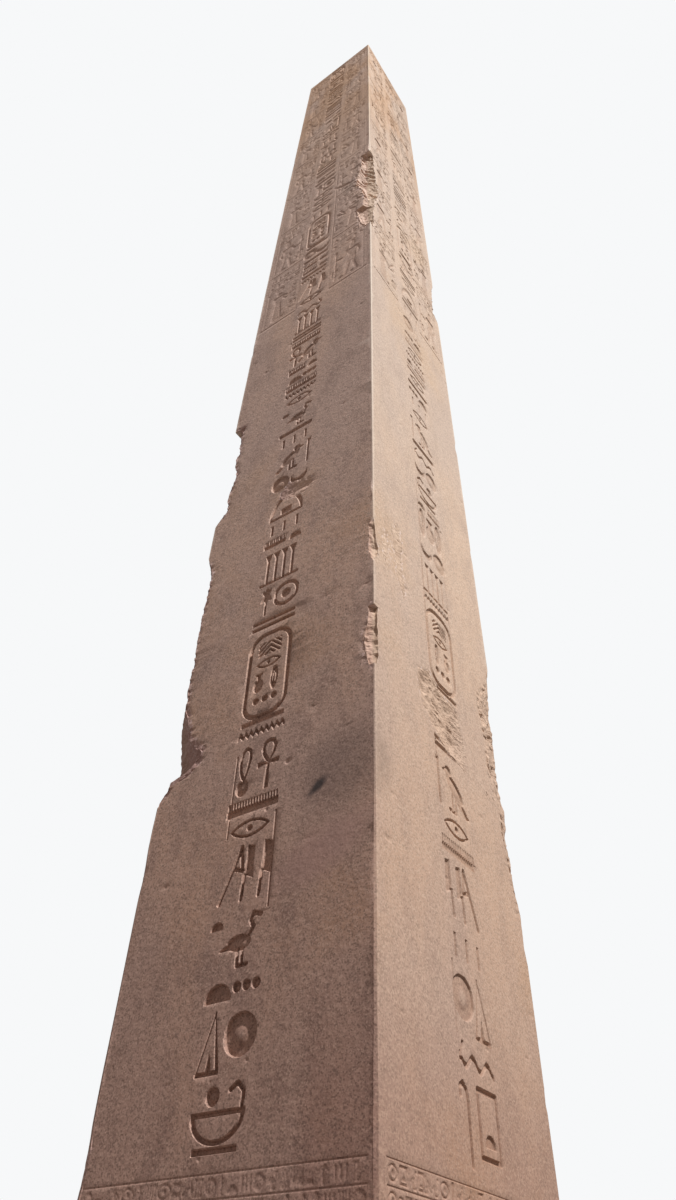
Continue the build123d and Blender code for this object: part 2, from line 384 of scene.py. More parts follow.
def thick(x, y, half_width, points):
    """Distance to a bent stroke with a width of its own."""
    return trail(x, y, points) - half_width


def union(*distances):
    """Distance to the nearest of some outlines."""
    return np.minimum.reduce(distances)


def deepest(*cuts):
    """The deepest of some cuts."""
    return np.maximum.reduce(cuts)


def dome(radius, reach):
    """A ball's height over its floor: 1 in the middle, 0 from its reach on."""
    return np.clip(1 - (radius / reach) ** 2, 0, 1)


# Motifs: ornaments of this object's own, each drawn in a box that is `wide` to each
# side and 1 up and down. They return how much of the full depth is cut, 0 to 1. A
# stroke's half width is a share of the box's half height.

def drawn(fills=(), strokes=(), swell=0.0, swell_width=1.0):
    """A motif from rows of outlines: filled ones, which swell up again towards their middles,
    and strokes, whose rows begin with their half width."""
    def motif(x, y, wide, soft):
        cuts = [groove(outline(x, y, *places), half, soft) for half, outline, *places in strokes]
        if fills:
            shape = union(*(outline(x, y, *places) for outline, *places in fills))
            cuts.append(sunk(shape, soft) * (1 - swell * np.clip(-shape / swell_width, 0, 1)))
        return deepest(*cuts)
    return motif


# A pear-shaped loop over a flared cross-bar and a spreading staff
looped_staff = drawn(
    [(polygon, [(-0.46, -0.06), (0, 0.02), (0.46, -0.06), (0.46, 0.14), (0, 0.08), (-0.46, 0.14)]),
     (polygon, [(-0.05, 0.0), (-0.10, -0.95), (0.10, -0.95), (0.05, 0.0)])],
    [(0.065, trail, [(0, 0.10), (-0.20, 0.42), (-0.28, 0.68), (-0.18, 0.90), (0, 0.96), (0.18, 0.90),
                     (0.28, 0.68), (0.20, 0.42), (0, 0.10)])])
# A leaning pole with a pointed flag in outline
pennant = drawn(strokes=[(0.065, trail, [(-0.40, -0.92), (0.34, 0.92)]),
                         (0.065, trail, [(0.34, 0.92), (0.46, 0.05), (0.06, 0.20)])])
# A standing bird: rounded back, long tail, head, short beak and two legs
bird = drawn(
    [(leaning_oval, 0.82, 0.57, 0.05, 0.08, 0.66, 0.30),
     (polygon, [(-0.30, -0.10), (-0.92, -0.72), (-0.70, -0.80), (-0.02, -0.34)]),
     (disc, 0.42, 0.66, 0.22), (polygon, [(0.56, 0.78), (0.86, 0.60), (0.58, 0.56)])],
    [(0.055, trail, [(-0.02, -0.30), (0.0, -0.90), (0.24, -0.90)]),
     (0.055, trail, [(0.20, -0.22), (0.24, -0.90), (0.48, -0.90)])], 0.60, 0.24)
# A bird with a long bent neck
long_bird = drawn(
    [(oval, -0.10, -0.12, 0.52, 0.28),
     (thick, 0.08, [(0.26, 0.0), (0.50, 0.34), (0.34, 0.62), (0.46, 0.84), (0.78, 0.74)]),
     (polygon, [(-0.45, 0.0), (-0.95, -0.30), (-0.50, -0.30)])],
    [(0.055, trail, [(-0.14, -0.30), (-0.10, -0.92), (0.14, -0.92)]),
     (0.055, trail, [(0.08, -0.30), (0.12, -0.92), (0.36, -0.92)])], 0.55, 0.22)
# A round-bodied jar with a lip
jar = drawn([(oval, 0, -0.25, 0.46, 0.62), (box, 0, 0.50, 0.16, 0.30), (box, 0, 0.84, 0.32, 0.08)],
            swell=0.6, swell_width=0.35)
# An open flower of three petals on a stem
lotus = drawn([(oval, 0, 0.42, 0.17, 0.50), (leaning_oval, 0.8, -0.6, -0.26, 0.30, 0.13, 0.46),
               (leaning_oval, 0.8, 0.6, 0.26, 0.30, 0.13, 0.46)], [(0.055, trail, [(0, 0), (0, -0.95)])])
# A staff with a curled head
crook = drawn(strokes=[(0.06, trail, [(-0.04, -0.95), (-0.04, 0.45), (0.02, 0.72), (0.18, 0.86),
                                      (0.34, 0.76), (0.34, 0.56)])])
# A tall feather in outline with its rib
feather = drawn(strokes=[(0.055, oval, 0, 0.08, 0.24, 0.82),
                         (0.05, trail, [(0, -0.95), (-0.04, 0.2), (0.08, 0.7)])])
# A tall thin stroke with a small head
tall_stroke = drawn([(box, 0.05, 0.86, 0.10, 0.09)], [(0.045, trail, [(0, -0.95), (0, 0.80)])])
# A striding figure with a tall head-dress and a staff, plain and without features
figure = drawn(
    [(disc, 0.02, 0.60, 0.085), (polygon, [(-0.10, 0.64), (-0.06, 0.96), (0.04, 0.98), (0.10, 0.68)]),
     (polygon, [(-0.20, 0.48), (0.22, 0.48), (0.10, 0.06), (-0.09, 0.06)]),
     (polygon, [(-0.11, 0.08), (0.11, 0.08), (0.24, -0.30), (-0.13, -0.30)]),
     (thick, 0.05, [(-0.02, -0.28), (-0.16, -0.94)]), (thick, 0.05, [(0.10, -0.28), (0.22, -0.94)]),
     (box, -0.10, -0.95, 0.13, 0.035), (box, 0.30, -0.95, 0.13, 0.035),
     (thick, 0.035, [(0.18, 0.44), (0.30, 0.16), (0.52, 0.22)]),
     (thick, 0.035, [(-0.17, 0.44), (-0.24, 0.12), (-0.16, -0.08)]),
     (thick, 0.018, [(0.56, -0.95), (0.56, 0.70)])], swell=0.45, swell_width=0.10)
# A figure with a disc over the head and both arms raised in front
bearer = drawn(
    [(disc, 0.02, 0.52, 0.085), (disc, 0.02, 0.80, 0.15),
     (polygon, [(-0.18, 0.40), (0.20, 0.40), (0.10, 0.0), (-0.09, 0.0)]),
     (polygon, [(-0.10, 0.02), (0.11, 0.02), (0.20, -0.92), (-0.14, -0.92)]),
     (thick, 0.035, [(0.16, 0.36), (0.36, 0.20), (0.50, 0.50)]),
     (thick, 0.035, [(0.12, 0.32), (0.30, 0.06), (0.56, 0.26)]),
     (box, 0.08, -0.95, 0.20, 0.035)], swell=0.45, swell_width=0.10)


def boss_disc(x, y, wide, soft):
    """A round dish with a domed boss."""
    radius = np.hypot(x, y)
    rise = 0.22 * np.clip((0.92 - radius) / 0.4, 0, 1)
    return sunk(radius - 0.92, soft) * (1 - rise - 0.62 * dome(radius, 0.52))


def ringed_disc(x, y, wide, soft):
    """A round groove about a small ball."""
    radius = np.hypot(x, y)
    return np.maximum(groove(radius - 0.80, 0.11, soft), sunk(radius - 0.32, soft))


def half_moon(x, y, wide, soft):
    """A half-round standing on its flat side."""
    radius = min(wide, 1.9)
    return sunk(np.maximum(disc(x, y, 0, -0.95, radius), -0.95 - y), soft)


def crescent(x, y, wide, soft):
    """A horned crescent."""
    return sunk(np.maximum(disc(x, y, 0, -0.1, 0.9), -disc(x, y, 0, 0.45, 0.85)), soft)


def bar(x, y, wide, soft):
    """A plain bar with rounded ends."""
    return sunk(box(x, y, 0, 0, wide - 0.4, 0.4) - 0.4, soft)


def double_bar(x, y, wide, soft):
    """Two bars, one over the other."""
    return sunk(np.minimum(box(x, y, 0, 0.54, wide, 0.28), box(x, y, 0, -0.54, wide, 0.28)), soft)


def comb(x, y, wide, soft):
    """A bar with teeth on its upper side."""
    tooth = np.abs((x * 2.4) % 1 - 0.5) / 2.4 - 0.09
    teeth = np.maximum(tooth, box(x, y, 0, 0.45, wide, 0.5))
    return np.maximum(sunk(box(x, y, 0, -0.4, wide, 0.45), soft), sunk(teeth, soft))


def zigzag(x, y, wide, soft):
    """A running zigzag."""
    ridge = np.abs((x * 0.8) % 1 - 0.5) * 2.2 - 0.55
    inside = np.clip((wide - np.abs(x)) / soft, 0, 1)
    return groove((y - ridge) * 0.6, 0.26, soft) * inside


def drop_loop(x, y, wide, soft):
    """A tall thin loop that hangs from a domed drop."""
    path = [(0.02, -0.38), (-0.14, 0.02), (-0.20, 0.45), (-0.12, 0.80), (0.04, 0.94), (0.20, 0.82),
            (0.24, 0.50), (0.16, 0.08), (0.02, -0.38)]
    drop = sunk(oval(x, y, 0, -0.66, 0.27, 0.31), soft)
    swell = dome(np.hypot(x / 0.16, (y + 0.62) / 0.20), 1)
    return np.maximum(groove(trail(x, y, path), 0.055, soft), drop * (1 - 0.7 * swell))


def tall_triangle(x, y, wide, soft):
    """A tall triangle in outline, broad at one side, with a slip of one inside it."""
    reach = min(wide, 0.46)
    left = line(x, y, (-reach, -0.90), (0.14, 0.92)) - 0.025
    right = polygon(x, y, [(0.12, 0.95), (reach + 0.04, -0.95), (reach - 0.10, -0.90)])
    foot = box(x, y, 0, -0.92, reach + 0.03, 0.06)
    slip = polygon(x, y, [(-0.08, -0.88), (0.04, -0.35), (0.16, -0.88)])
    return sunk(union(left, right, foot, slip), soft)


def twin_blades(x, y, wide, soft):
    """Two leaning blades on thin stems."""
    cuts = []
    for shift in (-0.38, 0.34):
        blade = [(shift - 0.16, -0.10), (shift - 0.10, 0.92), (shift + 0.18, 0.84), (shift + 0.22, -0.28)]
        cuts.append(sunk(polygon(x, y, blade), soft))
        cuts.append(groove(line(x, y, (shift - 0.14, -0.10), (shift - 0.20, -0.95)), 0.06, soft))
    return deepest(*cuts)


def reeds(x, y, wide, soft):
    """Upright reeds with flared heads over a bar."""
    pitch = 0.46
    count = max(1, int(2 * wide / pitch))
    shift = (count % 2 == 0) * 0.5
    middle = (np.clip(np.round(x / pitch - shift), -(count // 2), (count - 1) // 2) + shift) * pitch
    stem = np.maximum(np.abs(x - middle) - 0.055, np.abs(y) - 0.86)
    head = np.maximum(np.abs(x - middle) - 0.05 - (y - 0.50) * 0.28, np.abs(y - 0.72) - 0.22)
    foot = box(x, y, 0, -0.92, wide, 0.06)
    return sunk(union(stem, head, foot), soft)


def basin(x, y, wide, soft):
    """A wide bowl on a bar, a tall curled handle at one end and a ball over it."""
    reach = min(wide, 1.1)
    bowl = np.maximum(np.hypot(x / reach, (y - 0.10) / 0.86) - 0.92, y - 0.10) * 0.8
    rim = np.abs(bowl) - 0.055
    bends = ((0.84, 0.08), (0.90, 0.62), (0.66, 0.88), (0.40, 0.70))
    handle = trail(x, y, [(reach * share, level) for share, level in bends])
    foot = box(x, y, 0, -0.90, reach * 0.8, 0.075)
    ball = sunk(disc(x, y, -reach * 0.25, 0.58, 0.27), soft)
    swell = dome(np.hypot(x + reach * 0.25, y - 0.58), 0.17)
    return deepest(sunk(union(rim, foot), soft), groove(handle, 0.06, soft), ball * (1 - 0.7 * swell))


def canopy(x, y, wide, soft):
    """A domed canopy in outline, thick at its crown, over a stepped stand."""
    reach = min(wide, 0.98)
    bow = np.hypot(x / reach, (y + 0.85) / 1.62)
    crown = np.maximum(bow - 1, -(bow - 0.80 - 0.10 * np.clip(-y, 0, 1)))
    arch = np.maximum(crown * reach, -0.85 - y)
    stand = np.minimum(box(x, y, 0, -0.90, reach, 0.07), box(x, y, 0, -0.52, reach * 0.30, 0.18))
    return sunk(np.minimum(arch, stand), soft)


def doorway(x, y, wide, soft):
    """An upright frame with a half-round in its foot."""
    reach = min(wide, 0.9) - 0.08
    outline = groove(box(x, y, 0, 0, reach, 0.86), 0.065, soft)
    inner = np.maximum(disc(x, y, 0, -0.55, reach * 0.55), -0.55 - y)
    return np.maximum(outline, sunk(inner, soft))


def lens(x, y, wide, soft):
    """A pointed lens in outline round a ball."""
    reach = min(wide, 2.2)
    height = 0.78
    radius = (reach ** 2 + height ** 2) / (2 * height)
    outline = np.maximum(disc(x, y, 0, height - radius, radius), disc(x, y, 0, radius - height, radius))
    return np.maximum(groove(outline, 0.10, soft), sunk(disc(x, y, 0, 0, 0.30), soft))


def balls(x, y, wide, soft):
    """A row of small domed balls."""
    pitch = 2 * wide / 3
    near = (x + wide) % pitch - pitch / 2
    size = min(0.46 * pitch, 0.8)
    radius = np.hypot(near, y)
    return sunk(radius - size, soft) * (1 - 0.6 * dome(radius, 0.62 * size)) * (np.abs(x) < wide)


def ripple(x, y, wide, soft):
    """A long creeping curve with a raised head."""
    wave = 0.36 * np.sin(x * 3.0) - 0.25
    body = groove((y - wave) * 0.72, 0.12, soft) * (np.abs(x) < wide * 0.92)
    head = line(x, y, (wide * 0.88, -0.35), (wide * 0.70, 0.82))
    return np.maximum(body, groove(head, 0.12, soft))


def chevrons(x, y, wide, soft):
    """Nested arrow-heads."""
    fold = y + np.abs(x) * 0.9
    rows = np.abs((fold * 1.5) % 1 - 0.5) / 1.5 - 0.14
    return sunk(np.maximum(rows, box(x, y, 0, 0, wide, 0.9)), soft)


def short_strokes(x, y, wide, soft):
    """Three short upright strokes."""
    pitch = 2 * wide / 3
    near = (x + wide) % pitch - pitch / 2
    return sunk(box(near, y, 0, 0, min(0.13, pitch * 0.25), 0.80), soft) * (np.abs(x) < wide)


def stepped_block(x, y, wide, soft):
    """Steps that rise to one side."""
    reach = min(wide, 1.0)
    steps = union(box(x, y, 0, -0.70, reach, 0.22), box(x, y, reach * 0.28, -0.22, reach * 0.72, 0.26),
                  box(x, y, reach * 0.60, 0.32, reach * 0.40, 0.32))
    return sunk(steps, soft)


# What stands in a ring: motif, place and half size as shares of the ring's inside
RING_CONTENT = [(chevrons, 0.0, 0.60, 0.70, 0.16), (lens, 0.0, 0.26, 0.90, 0.11),
                (jar, -0.42, -0.14, 0.34, 0.22), (feather, 0.36, -0.14, 0.30, 0.24),
                (balls, 0.0, -0.52, 0.80, 0.08)]


def sign_ring(x, y, wide, soft):
    """A tall round-ended ring on a bar, with ornaments inside: a rounded box's outline."""
    reach = min(wide, 0.62) * 0.90
    corner = reach * 0.75
    body = box(x, y, 0, 0.04, reach - corner, 0.90 - corner) - corner
    cuts = [groove(body, 0.040, soft), sunk(box(x, y, 0, -0.955, reach, 0.04), soft)]
    for motif, place_x, place_y, half_x, half_y in RING_CONTENT:
        own_x = (x - place_x * reach) / half_y
        own_y = (y - place_y) / half_y
        share = motif(own_x, own_y, half_x * reach * 0.82 / half_y, soft / half_y)
        cuts.append(share * (np.abs(own_y) < 1.05))
    return deepest(*cuts)


# Groups of the column: height, then motif, place and half size as shares of the group's
# half width and half height. A number names each group in the orders below.
GROUPS = [
    (0.46, [(basin, 0.0, 0.0, 1.0, 1.0)]),
    (0.46, [(tall_triangle, -0.52, 0.0, 0.44, 1.0), (boss_disc, 0.46, 0.10, 0.42, 0.74)]),
    (0.52, [(drop_loop, -0.52, 0.0, 0.40, 1.0), (looped_staff, 0.46, 0.0, 0.44, 1.0)]),
    (0.20, [(lens, 0.0, 0.0, 1.0, 0.9)]),
    (0.50, [(pennant, -0.50, 0.0, 0.46, 1.0), (twin_blades, 0.46, 0.0, 0.50, 1.0)]),
    (0.15, [(comb, 0.0, 0.0, 1.0, 1.0)]),
    (0.52, [(doorway, -0.40, 0.1, 0.56, 0.9), (crook, 0.66, 0.0, 0.30, 1.0)]),
    (0.20, [(half_moon, -0.45, 0.0, 0.45, 0.9), (balls, 0.50, 0.0, 0.48, 0.5)]),
    (0.10, [(zigzag, 0.0, 0.0, 1.0, 1.0)]),
    (0.50, [(bird, -0.12, 0.0, 0.80, 1.0), (tall_stroke, 0.90, 0.0, 0.10, 1.0)]),
    (0.17, [(double_bar, 0.0, 0.0, 1.0, 0.9)]),
    (0.32, [(boss_disc, -0.55, 0.0, 0.42, 0.95), (crescent, 0.50, 0.0, 0.45, 0.9)]),
    (0.50, [(reeds, 0.0, 0.0, 0.96, 1.0)]),
    (0.46, [(long_bird, 0.15, 0.0, 0.80, 1.0), (half_moon, -0.78, 0.74, 0.22, 0.22)]),
    (0.20, [(ripple, 0.0, 0.0, 1.0, 1.0)]),
    (0.50, [(feather, -0.66, 0.0, 0.30, 1.0), (jar, 0.02, 0.0, 0.40, 0.9), (feather, 0.70, 0.0, 0.26, 1.0)]),
    (0.10, [(bar, 0.0, 0.0, 1.0, 0.8)]),
    (0.24, [(short_strokes, 0.0, 0.0, 1.0, 0.9)]),
    (0.42, [(lotus, -0.50, 0.0, 0.45, 1.0), (ringed_disc, 0.48, 0.0, 0.45, 0.9)]),
    (0.16, [(comb, -0.42, 0.0, 0.56, 0.9), (half_moon, 0.66, 0.0, 0.30, 0.9)]),
    (0.50, [(looped_staff, -0.62, 0.0, 0.36, 1.0), (bird, 0.36, 0.0, 0.62, 0.95)]),
    (0.30, [(stepped_block, -0.40, 0.0, 0.52, 0.9), (chevrons, 0.58, 0.0, 0.36, 0.85)]),
    (0.52, [(canopy, 0.0, 0.0, 1.0, 1.0)]),
    (1.17, [(sign_ring, 0.0, 0.0, 1.0, 1.0)]),
]

# The numbers of the ring and of the plain bar. A ring comes at every twentieth place, and a
# group that may be tall at every third.
RING = 23
PLAIN_BAR = 16
RING_EVERY = 20
TALL_EVERY = 3

# Between groups of a column, and under its lowest in each drum
GROUP_GAP = 0.045
COLUMN_FOOT_GAP = 0.05

# A drum takes no further group once less than this much room is left, and one that would
# squeeze them by more than this gives way to a plain bar
LEAST_ROOM = 0.16
MOST_SQUEEZE = 1.12

# Groups from the foot up; then each face walks round the groups by its own stride, with
# low groups between them.
COLUMN_STARTS = {
    "front": [0, 1, 7, 13, 4, 3, 5, 2, 8, RING, 10, 18, 12, 19, 17, 22, 11, 9],
    "right": [6, 14, 1, 17, 4, 5, 3, 9, 10, 2, RING, 8, 12, 11, 15, 19, 0],
    "back": [20, 5, 18, 0, 12, 3, 15, 8, 13, RING, 7, 2, 10, 9],
    "left": [2, 11, 6, 10, 22, 5, 9, 14, 1, RING, 19, 15, 3],
}
COLUMN_STRIDES = {"front": 5, "right": 7, "back": 9, "left": 4}
LOW_GROUPS = (3, 14, 10, 16, 7, 8, 3, 17, 5, 19, 16)

SMALL_MOTIFS = (bird, half_moon, zigzag, tall_triangle, boss_disc, reeds, comb, lotus, jar, crook,
                long_bird, doorway, ripple, feather, short_strokes, double_bar, lens)


class Relief:
    """Depth cut into one face, worked out on the grid of the drum that it belongs to."""

    def __init__(self, face, across, up, soft):
        self.face = face
        self.across = across
        self.up = up
        self.soft = soft
        self.depth = np.zeros(across.shape)

    def window(self, x, z, half_x, half_z):
        """Rows and columns that a motif can touch, or None. Some reach a little past their box."""
        rows = np.nonzero(np.abs(self.up - z) <= half_z * 1.08)[0]
        if not len(rows):
            return None
        block = self.across[rows[0]:rows[-1] + 1]
        near = np.nonzero((np.abs(block - x) <= half_x * 1.15 + 0.02).any(axis=0))[0]
        if not len(near):
            return None
        return slice(rows[0], rows[-1] + 1), slice(near[0], near[-1] + 1)

    def cut(self, motif, x, z, half_x, half_z, depth, flip=1):
        """Sink a motif centred at x, z; the deepest cut stays where motifs meet."""
        window = self.window(x, z, half_x, half_z)
        if window is None:
            return
        own_x = flip * (self.across[window] - x) / half_z
        own_y = (self.up[window[0], None] - z) / half_z + np.zeros_like(own_x)
        share = motif(own_x, own_y, half_x / half_z, self.soft / half_z)
        self.depth[window] = np.maximum(self.depth[window], share * depth)

    def level_line(self, z, low, high, half_width, depth):
        """A level groove from low to high across the face. Rows of the mesh lie on its edges."""
        rows = np.abs(self.up - z) < half_width + 0.002
        across = self.across[rows]
        share = np.clip((half_width + 0.001 - np.abs(self.up[rows, None] - z)) / (0.5 * half_width), 0, 1)
        inside = smooth_step(across - low, 0, LINE_END) * smooth_step(high - across, 0, LINE_END)
        self.depth[rows] = np.maximum(self.depth[rows], share * inside * depth)

    def ruled_line(self, z, low, high, depth):
        """A shallow level scratch, V-shaped, that needs no rows of its own."""
        rows = np.abs(self.up - z) < SCRATCH_HALF
        if rows.any():
            share = 1 - np.abs(self.up[rows, None] - z) / SCRATCH_HALF
            inside = (self.across[rows] > low) & (self.across[rows] < high)
            self.depth[rows] = np.maximum(self.depth[rows], share * inside * depth)

    def upright_line(self, share, low, high, half_width, depth):
        """A groove at a share of the half width, from one height to another."""
        rows = (self.up > low) & (self.up < high)
        if rows.any():
            middle = share * half_at(self.up[rows])[:, None]
            cut = np.clip((half_width + 0.005 - np.abs(self.across[rows] - middle)) / 0.010, 0, 1)
            self.depth[rows] = np.maximum(self.depth[rows], cut * depth)


def half_at(z):
    """Half the monolith's width at a height: straight taper and swell, then the pyramidion."""
    share = np.clip((z - FOOT_Z) / SHAFT_HEIGHT, 0, 1)
    shaft = FOOT_HALF + (HEAD_HALF - FOOT_HALF) * share + SWELL * 4 * share * (1 - share)
    top = np.clip((z - HEAD_Z) / PYRAMIDION_HEIGHT, 0, 1)
    return np.where(z > HEAD_Z, HEAD_HALF + (TIP_HALF - HEAD_HALF) * top, shaft)


def column_order(face):
    """Numbers of a face's groups, from the foot up, without end."""
    yield from COLUMN_STARTS[face]
    place = len(COLUMN_STARTS[face])
    while True:
        place += 1
        if place % RING_EVERY == 0:
            yield RING
        elif place % TALL_EVERY:
            yield LOW_GROUPS[place * COLUMN_STRIDES[face] % len(LOW_GROUPS)]
        else:
            yield place * COLUMN_STRIDES[face] % RING


def column_plan(face):
    """Group, foot and height of each group on a face. Each drum takes groups until it is
    full, and they are stretched a little to fill it to its ends."""
    order = column_order(face)
    plan = []
    for drum in DRUMS[FIRST_CARVED_DRUM:-1]:
        low = FOOT_Z + drum[1] + COLUMN_FOOT_GAP
        room = FOOT_Z + drum[2] - low
        taken = []
        total = 0
        while total < room - LEAST_ROOM:
            number = next(order)
            if total + GROUPS[number][0] + GROUP_GAP > room * MOST_SQUEEZE:
                number = PLAIN_BAR
            height = GROUPS[number][0] + GROUP_GAP
            taken.append((number, height))
            total += height
        for number, height in taken:
            share = height * room / total
            plan.append((GROUPS[number][1], low, share - GROUP_GAP))
            low += share
    return plan


def carve_column(relief, depth):
    """Stack the groups of signs up the middle of a face."""
    flip = -1 if relief.face in ("right", "back") else 1
    lower, upper = SIGN_DEPTH_SHARE[relief.face]
    for motifs, foot, height in column_plan(relief.face):
        middle = foot + height / 2
        if foot > relief.up[-1] or foot + height < relief.up[0]:
            continue
        rise = float(smooth_step(middle, *SIGN_DEPTH_CHANGE))
        share = lower * (1 - rise) + upper * rise
        half_width = float(half_at(middle))
        centre = COLUMN_CENTRE_SHARE[relief.face] * half_width
        reach = COLUMN_HALF_SHARE * half_width
        for motif, place_x, place_z, half_x, half_z in motifs:
            relief.cut(motif, centre + flip * place_x * reach, middle + place_z * height / 2,
                       half_x * reach, half_z * height / 2, depth * share, flip)
    for place, low, high in LONG_STROKES[relief.face]:
        relief.upright_line(place, LINE_Z + low, LINE_Z + high, STROKE_HALF, depth * 0.5)


def carve_panels(relief, depth):
    """Registers beside the upper column: level lines, border lines, and what stands in each."""
    levels = [LINE_Z + metres for metres in REGISTER_LINES]
    if relief.up[-1] < levels[0] - 0.1:
        return
    for share in (PANEL_OUTER_SHARE, PANEL_OUTER_SHARE - 0.05, PANEL_INNER_SHARE):
        for side in (-1, 1):
            relief.upright_line(side * share, levels[0], levels[-1], STROKE_HALF, depth * 0.6)
    for number, z in enumerate(levels[:-1]):
        height = REGISTER_LINES[number + 1] - REGISTER_LINES[number]
        half_width = float(half_at(z))
        for side in (-1, 1):
            ends = sorted((side * PANEL_INNER_SHARE * half_width, side * PANEL_OUTER_SHARE * half_width))
            relief.level_line(z, *ends, REGISTER_LINE_HALF, depth * 0.8)
            carve_register(relief, number, side, z, height, depth)
    reach = PANEL_OUTER_SHARE * float(half_at(levels[-1]))
    relief.level_line(levels[-1], -reach, reach, REGISTER_LINE_HALF, depth * 0.8)


def carve_register(relief, number, side, z, height, depth):
    """One register on one side of the column: ruled lines, a figure, a basin before it, two
    rows of small signs over its head and a stack of three beside it."""
    if relief.up[-1] < z or relief.up[0] > z + height:
        return
    half_width = float(half_at(z + height / 2))
    reaches = (PANEL_INNER_SHARE + 0.02, PANEL_OUTER_SHARE - 0.06)
    ends = sorted(side * reach * half_width for reach in reaches)
    for share, part in RULED_LINES:
        relief.ruled_line(z + height * share, *ends, depth * part)
    far = int(side > 0)
    kind = figure if (number + far) % 2 else bearer
    parts = [(kind, 0.68, 0.38, height * 0.29, height * 0.32, 1.35), (basin, 0.40, 0.20, 0.085, 0.12, 1.1)]
    for count in range(10):
        level, place = divmod(count, 5)
        small = SMALL_MOTIFS[(number * 5 + count * 3 + far * 2) % len(SMALL_MOTIFS)]
        parts.append((small, 0.36 + 0.12 * place, 0.89 - 0.133 * level, 0.050, 0.062, 1.1))
    for count in range(3):
        small = SMALL_MOTIFS[(number * 7 + count * 5 + far * 3) % len(SMALL_MOTIFS)]
        parts.append((small, 0.39, 0.36 + 0.11 * count, 0.055, 0.060, 1.1))
    for motif, across, up, half_x, half_z, part in parts:
        relief.cut(motif, side * across * half_width, z + height * up, half_x, half_z, depth * part, -side)


def carve_foot_lines(relief, depth):
    """Rows of small signs between level lines round the foot of the shaft."""
    face = np.int64(FACE_ORDER.index(relief.face))
    for number in range(FOOT_LINE_COUNT + 1):
        z = LINE_Z - number * FOOT_LINE_PITCH
        half_width = float(half_at(z))
        relief.level_line(z, -0.94 * half_width, 0.94 * half_width, FOOT_LINE_HALF, depth * 0.7)
        x = -0.925 * half_width
        count = 0
        while number < FOOT_LINE_COUNT and x < 0.90 * half_width:
            pick = float(lattice(np.int64(count), np.int64(number), face, FOOT_SIGN_SEED))
            motif = SMALL_MOTIFS[int(pick * len(SMALL_MOTIFS)) % len(SMALL_MOTIFS)]
            half_x = FOOT_SIGN_WIDTH + FOOT_SIGN_WIDTH * ((pick * 37) % 1)
            relief.cut(motif, x + half_x, z - FOOT_LINE_PITCH / 2, half_x, FOOT_SIGN_HALF, depth,
                       1 if pick > 0.5 else -1)
            x += 2 * half_x + FOOT_SIGN_GAP
            count += 1


def carve_pyramidion(relief, depth):
    """A line round the pyramidion's foot, a disc, and two figures that face each other."""
    half_width = float(half_at(HEAD_Z + 0.12))
    relief.level_line(HEAD_Z + 0.12, -0.92 * half_width, 0.92 * half_width, 0.012, depth)
    for side in (-1, 1):
        relief.cut(figure, side * 0.30, HEAD_Z + 0.68, 0.30, 0.50, depth * 1.3, -side)
    relief.cut(boss_disc, 0, HEAD_Z + 1.62, 0.13, 0.13, depth * 1.4)
    relief.cut(double_bar, 0, HEAD_Z + 1.36, 0.26, 0.05, depth)


def spoil(relief, window, cover, bed):
    """Blend damaged stone into the face, taking off what is carved there."""
    relief.depth[window] = relief.depth[window] * (1 - cover) + bed * cover


def sink_scar(relief, fresh, rough, depth, outline):
    """Sink a scar, ragged at its rim and flaked within, and mark its stone as fresh."""
    levels = [LINE_Z + metres for _, metres in outline]
    corners = [(share * float(half_at(level)), level) for (share, _), level in zip(outline, levels)]
    sides = [x for x, _ in corners]
    middle_x = (min(sides) + max(sides)) / 2
    half_x = max(abs(x - middle_x) for x in sides) + SCAR_MARGIN
    window = relief.window(middle_x, (min(levels) + max(levels)) / 2, half_x,
                           (max(levels) - min(levels)) / 2 + SCAR_MARGIN)
    if window is None:
        return
    x = relief.across[window]
    z = relief.up[window[0], None] + np.zeros_like(x)
    edge = -polygon(x, z, corners) + 0.05 * (noise(x * 14, z * 14, 0, 3) - 0.5) + 0.03 * (
        noise(x * 45, z * 60, 0, 4) - 0.5)
    cover = smooth_step(edge, -0.01, 0.03)
    flakes = np.abs(noise(x * 9 - z * 4, z * 16 + x * 5, 0, 6) - 0.5) * 2
    grit = noise(x * 55, z * 70, 0, 7)
    bed = depth * smooth_step(edge, -0.01, 0.16) * (0.55 + 0.6 * flakes)
    spoil(relief, window, cover, bed + rough * 0.20 * grit)
    fresh[window] = np.maximum(fresh[window], cover)


def wear_hollow(relief, fresh, share, metres, half_x, half_z, lean, depth):
    """Wear a smooth leaning hollow, whose stone is only a little fresher."""
    z = LINE_Z + metres
    x = share * float(half_at(z))
    window = relief.window(x, z, half_x + half_z, half_x + half_z)
    if window is None:
        return
    turn = math.radians(lean)
    off_x = relief.across[window] - x
    off_z = relief.up[window[0], None] - z
    own_x = off_x * math.cos(turn) + off_z * math.sin(turn)
    own_z = -off_x * math.sin(turn) + off_z * math.cos(turn)
    edge = 1 - np.hypot(own_x / half_x, own_z / half_z) + 0.5 * (noise(off_x * 7, off_z * 7, 0, 8) - 0.5)
    cover = smooth_step(edge, 0, 0.5)
    bed = depth * (0.5 + 0.7 * noise(own_x * 5, own_z * 14, 0, 9)) * smooth_step(edge, 0, 0.9)
    spoil(relief, window, cover * 0.85, bed)
    fresh[window] = np.maximum(fresh[window], cover * 0.25)


def scar_face(relief, rough):
    """All of the face's scars and hollows. Returns how fresh the stone is at each point."""
    fresh = np.zeros(relief.depth.shape)
    for scar in SCARS[relief.face]:
        sink_scar(relief, fresh, rough, *scar)
    for hollow in HOLLOWS[relief.face]:
        wear_hollow(relief, fresh, *hollow)
    return fresh


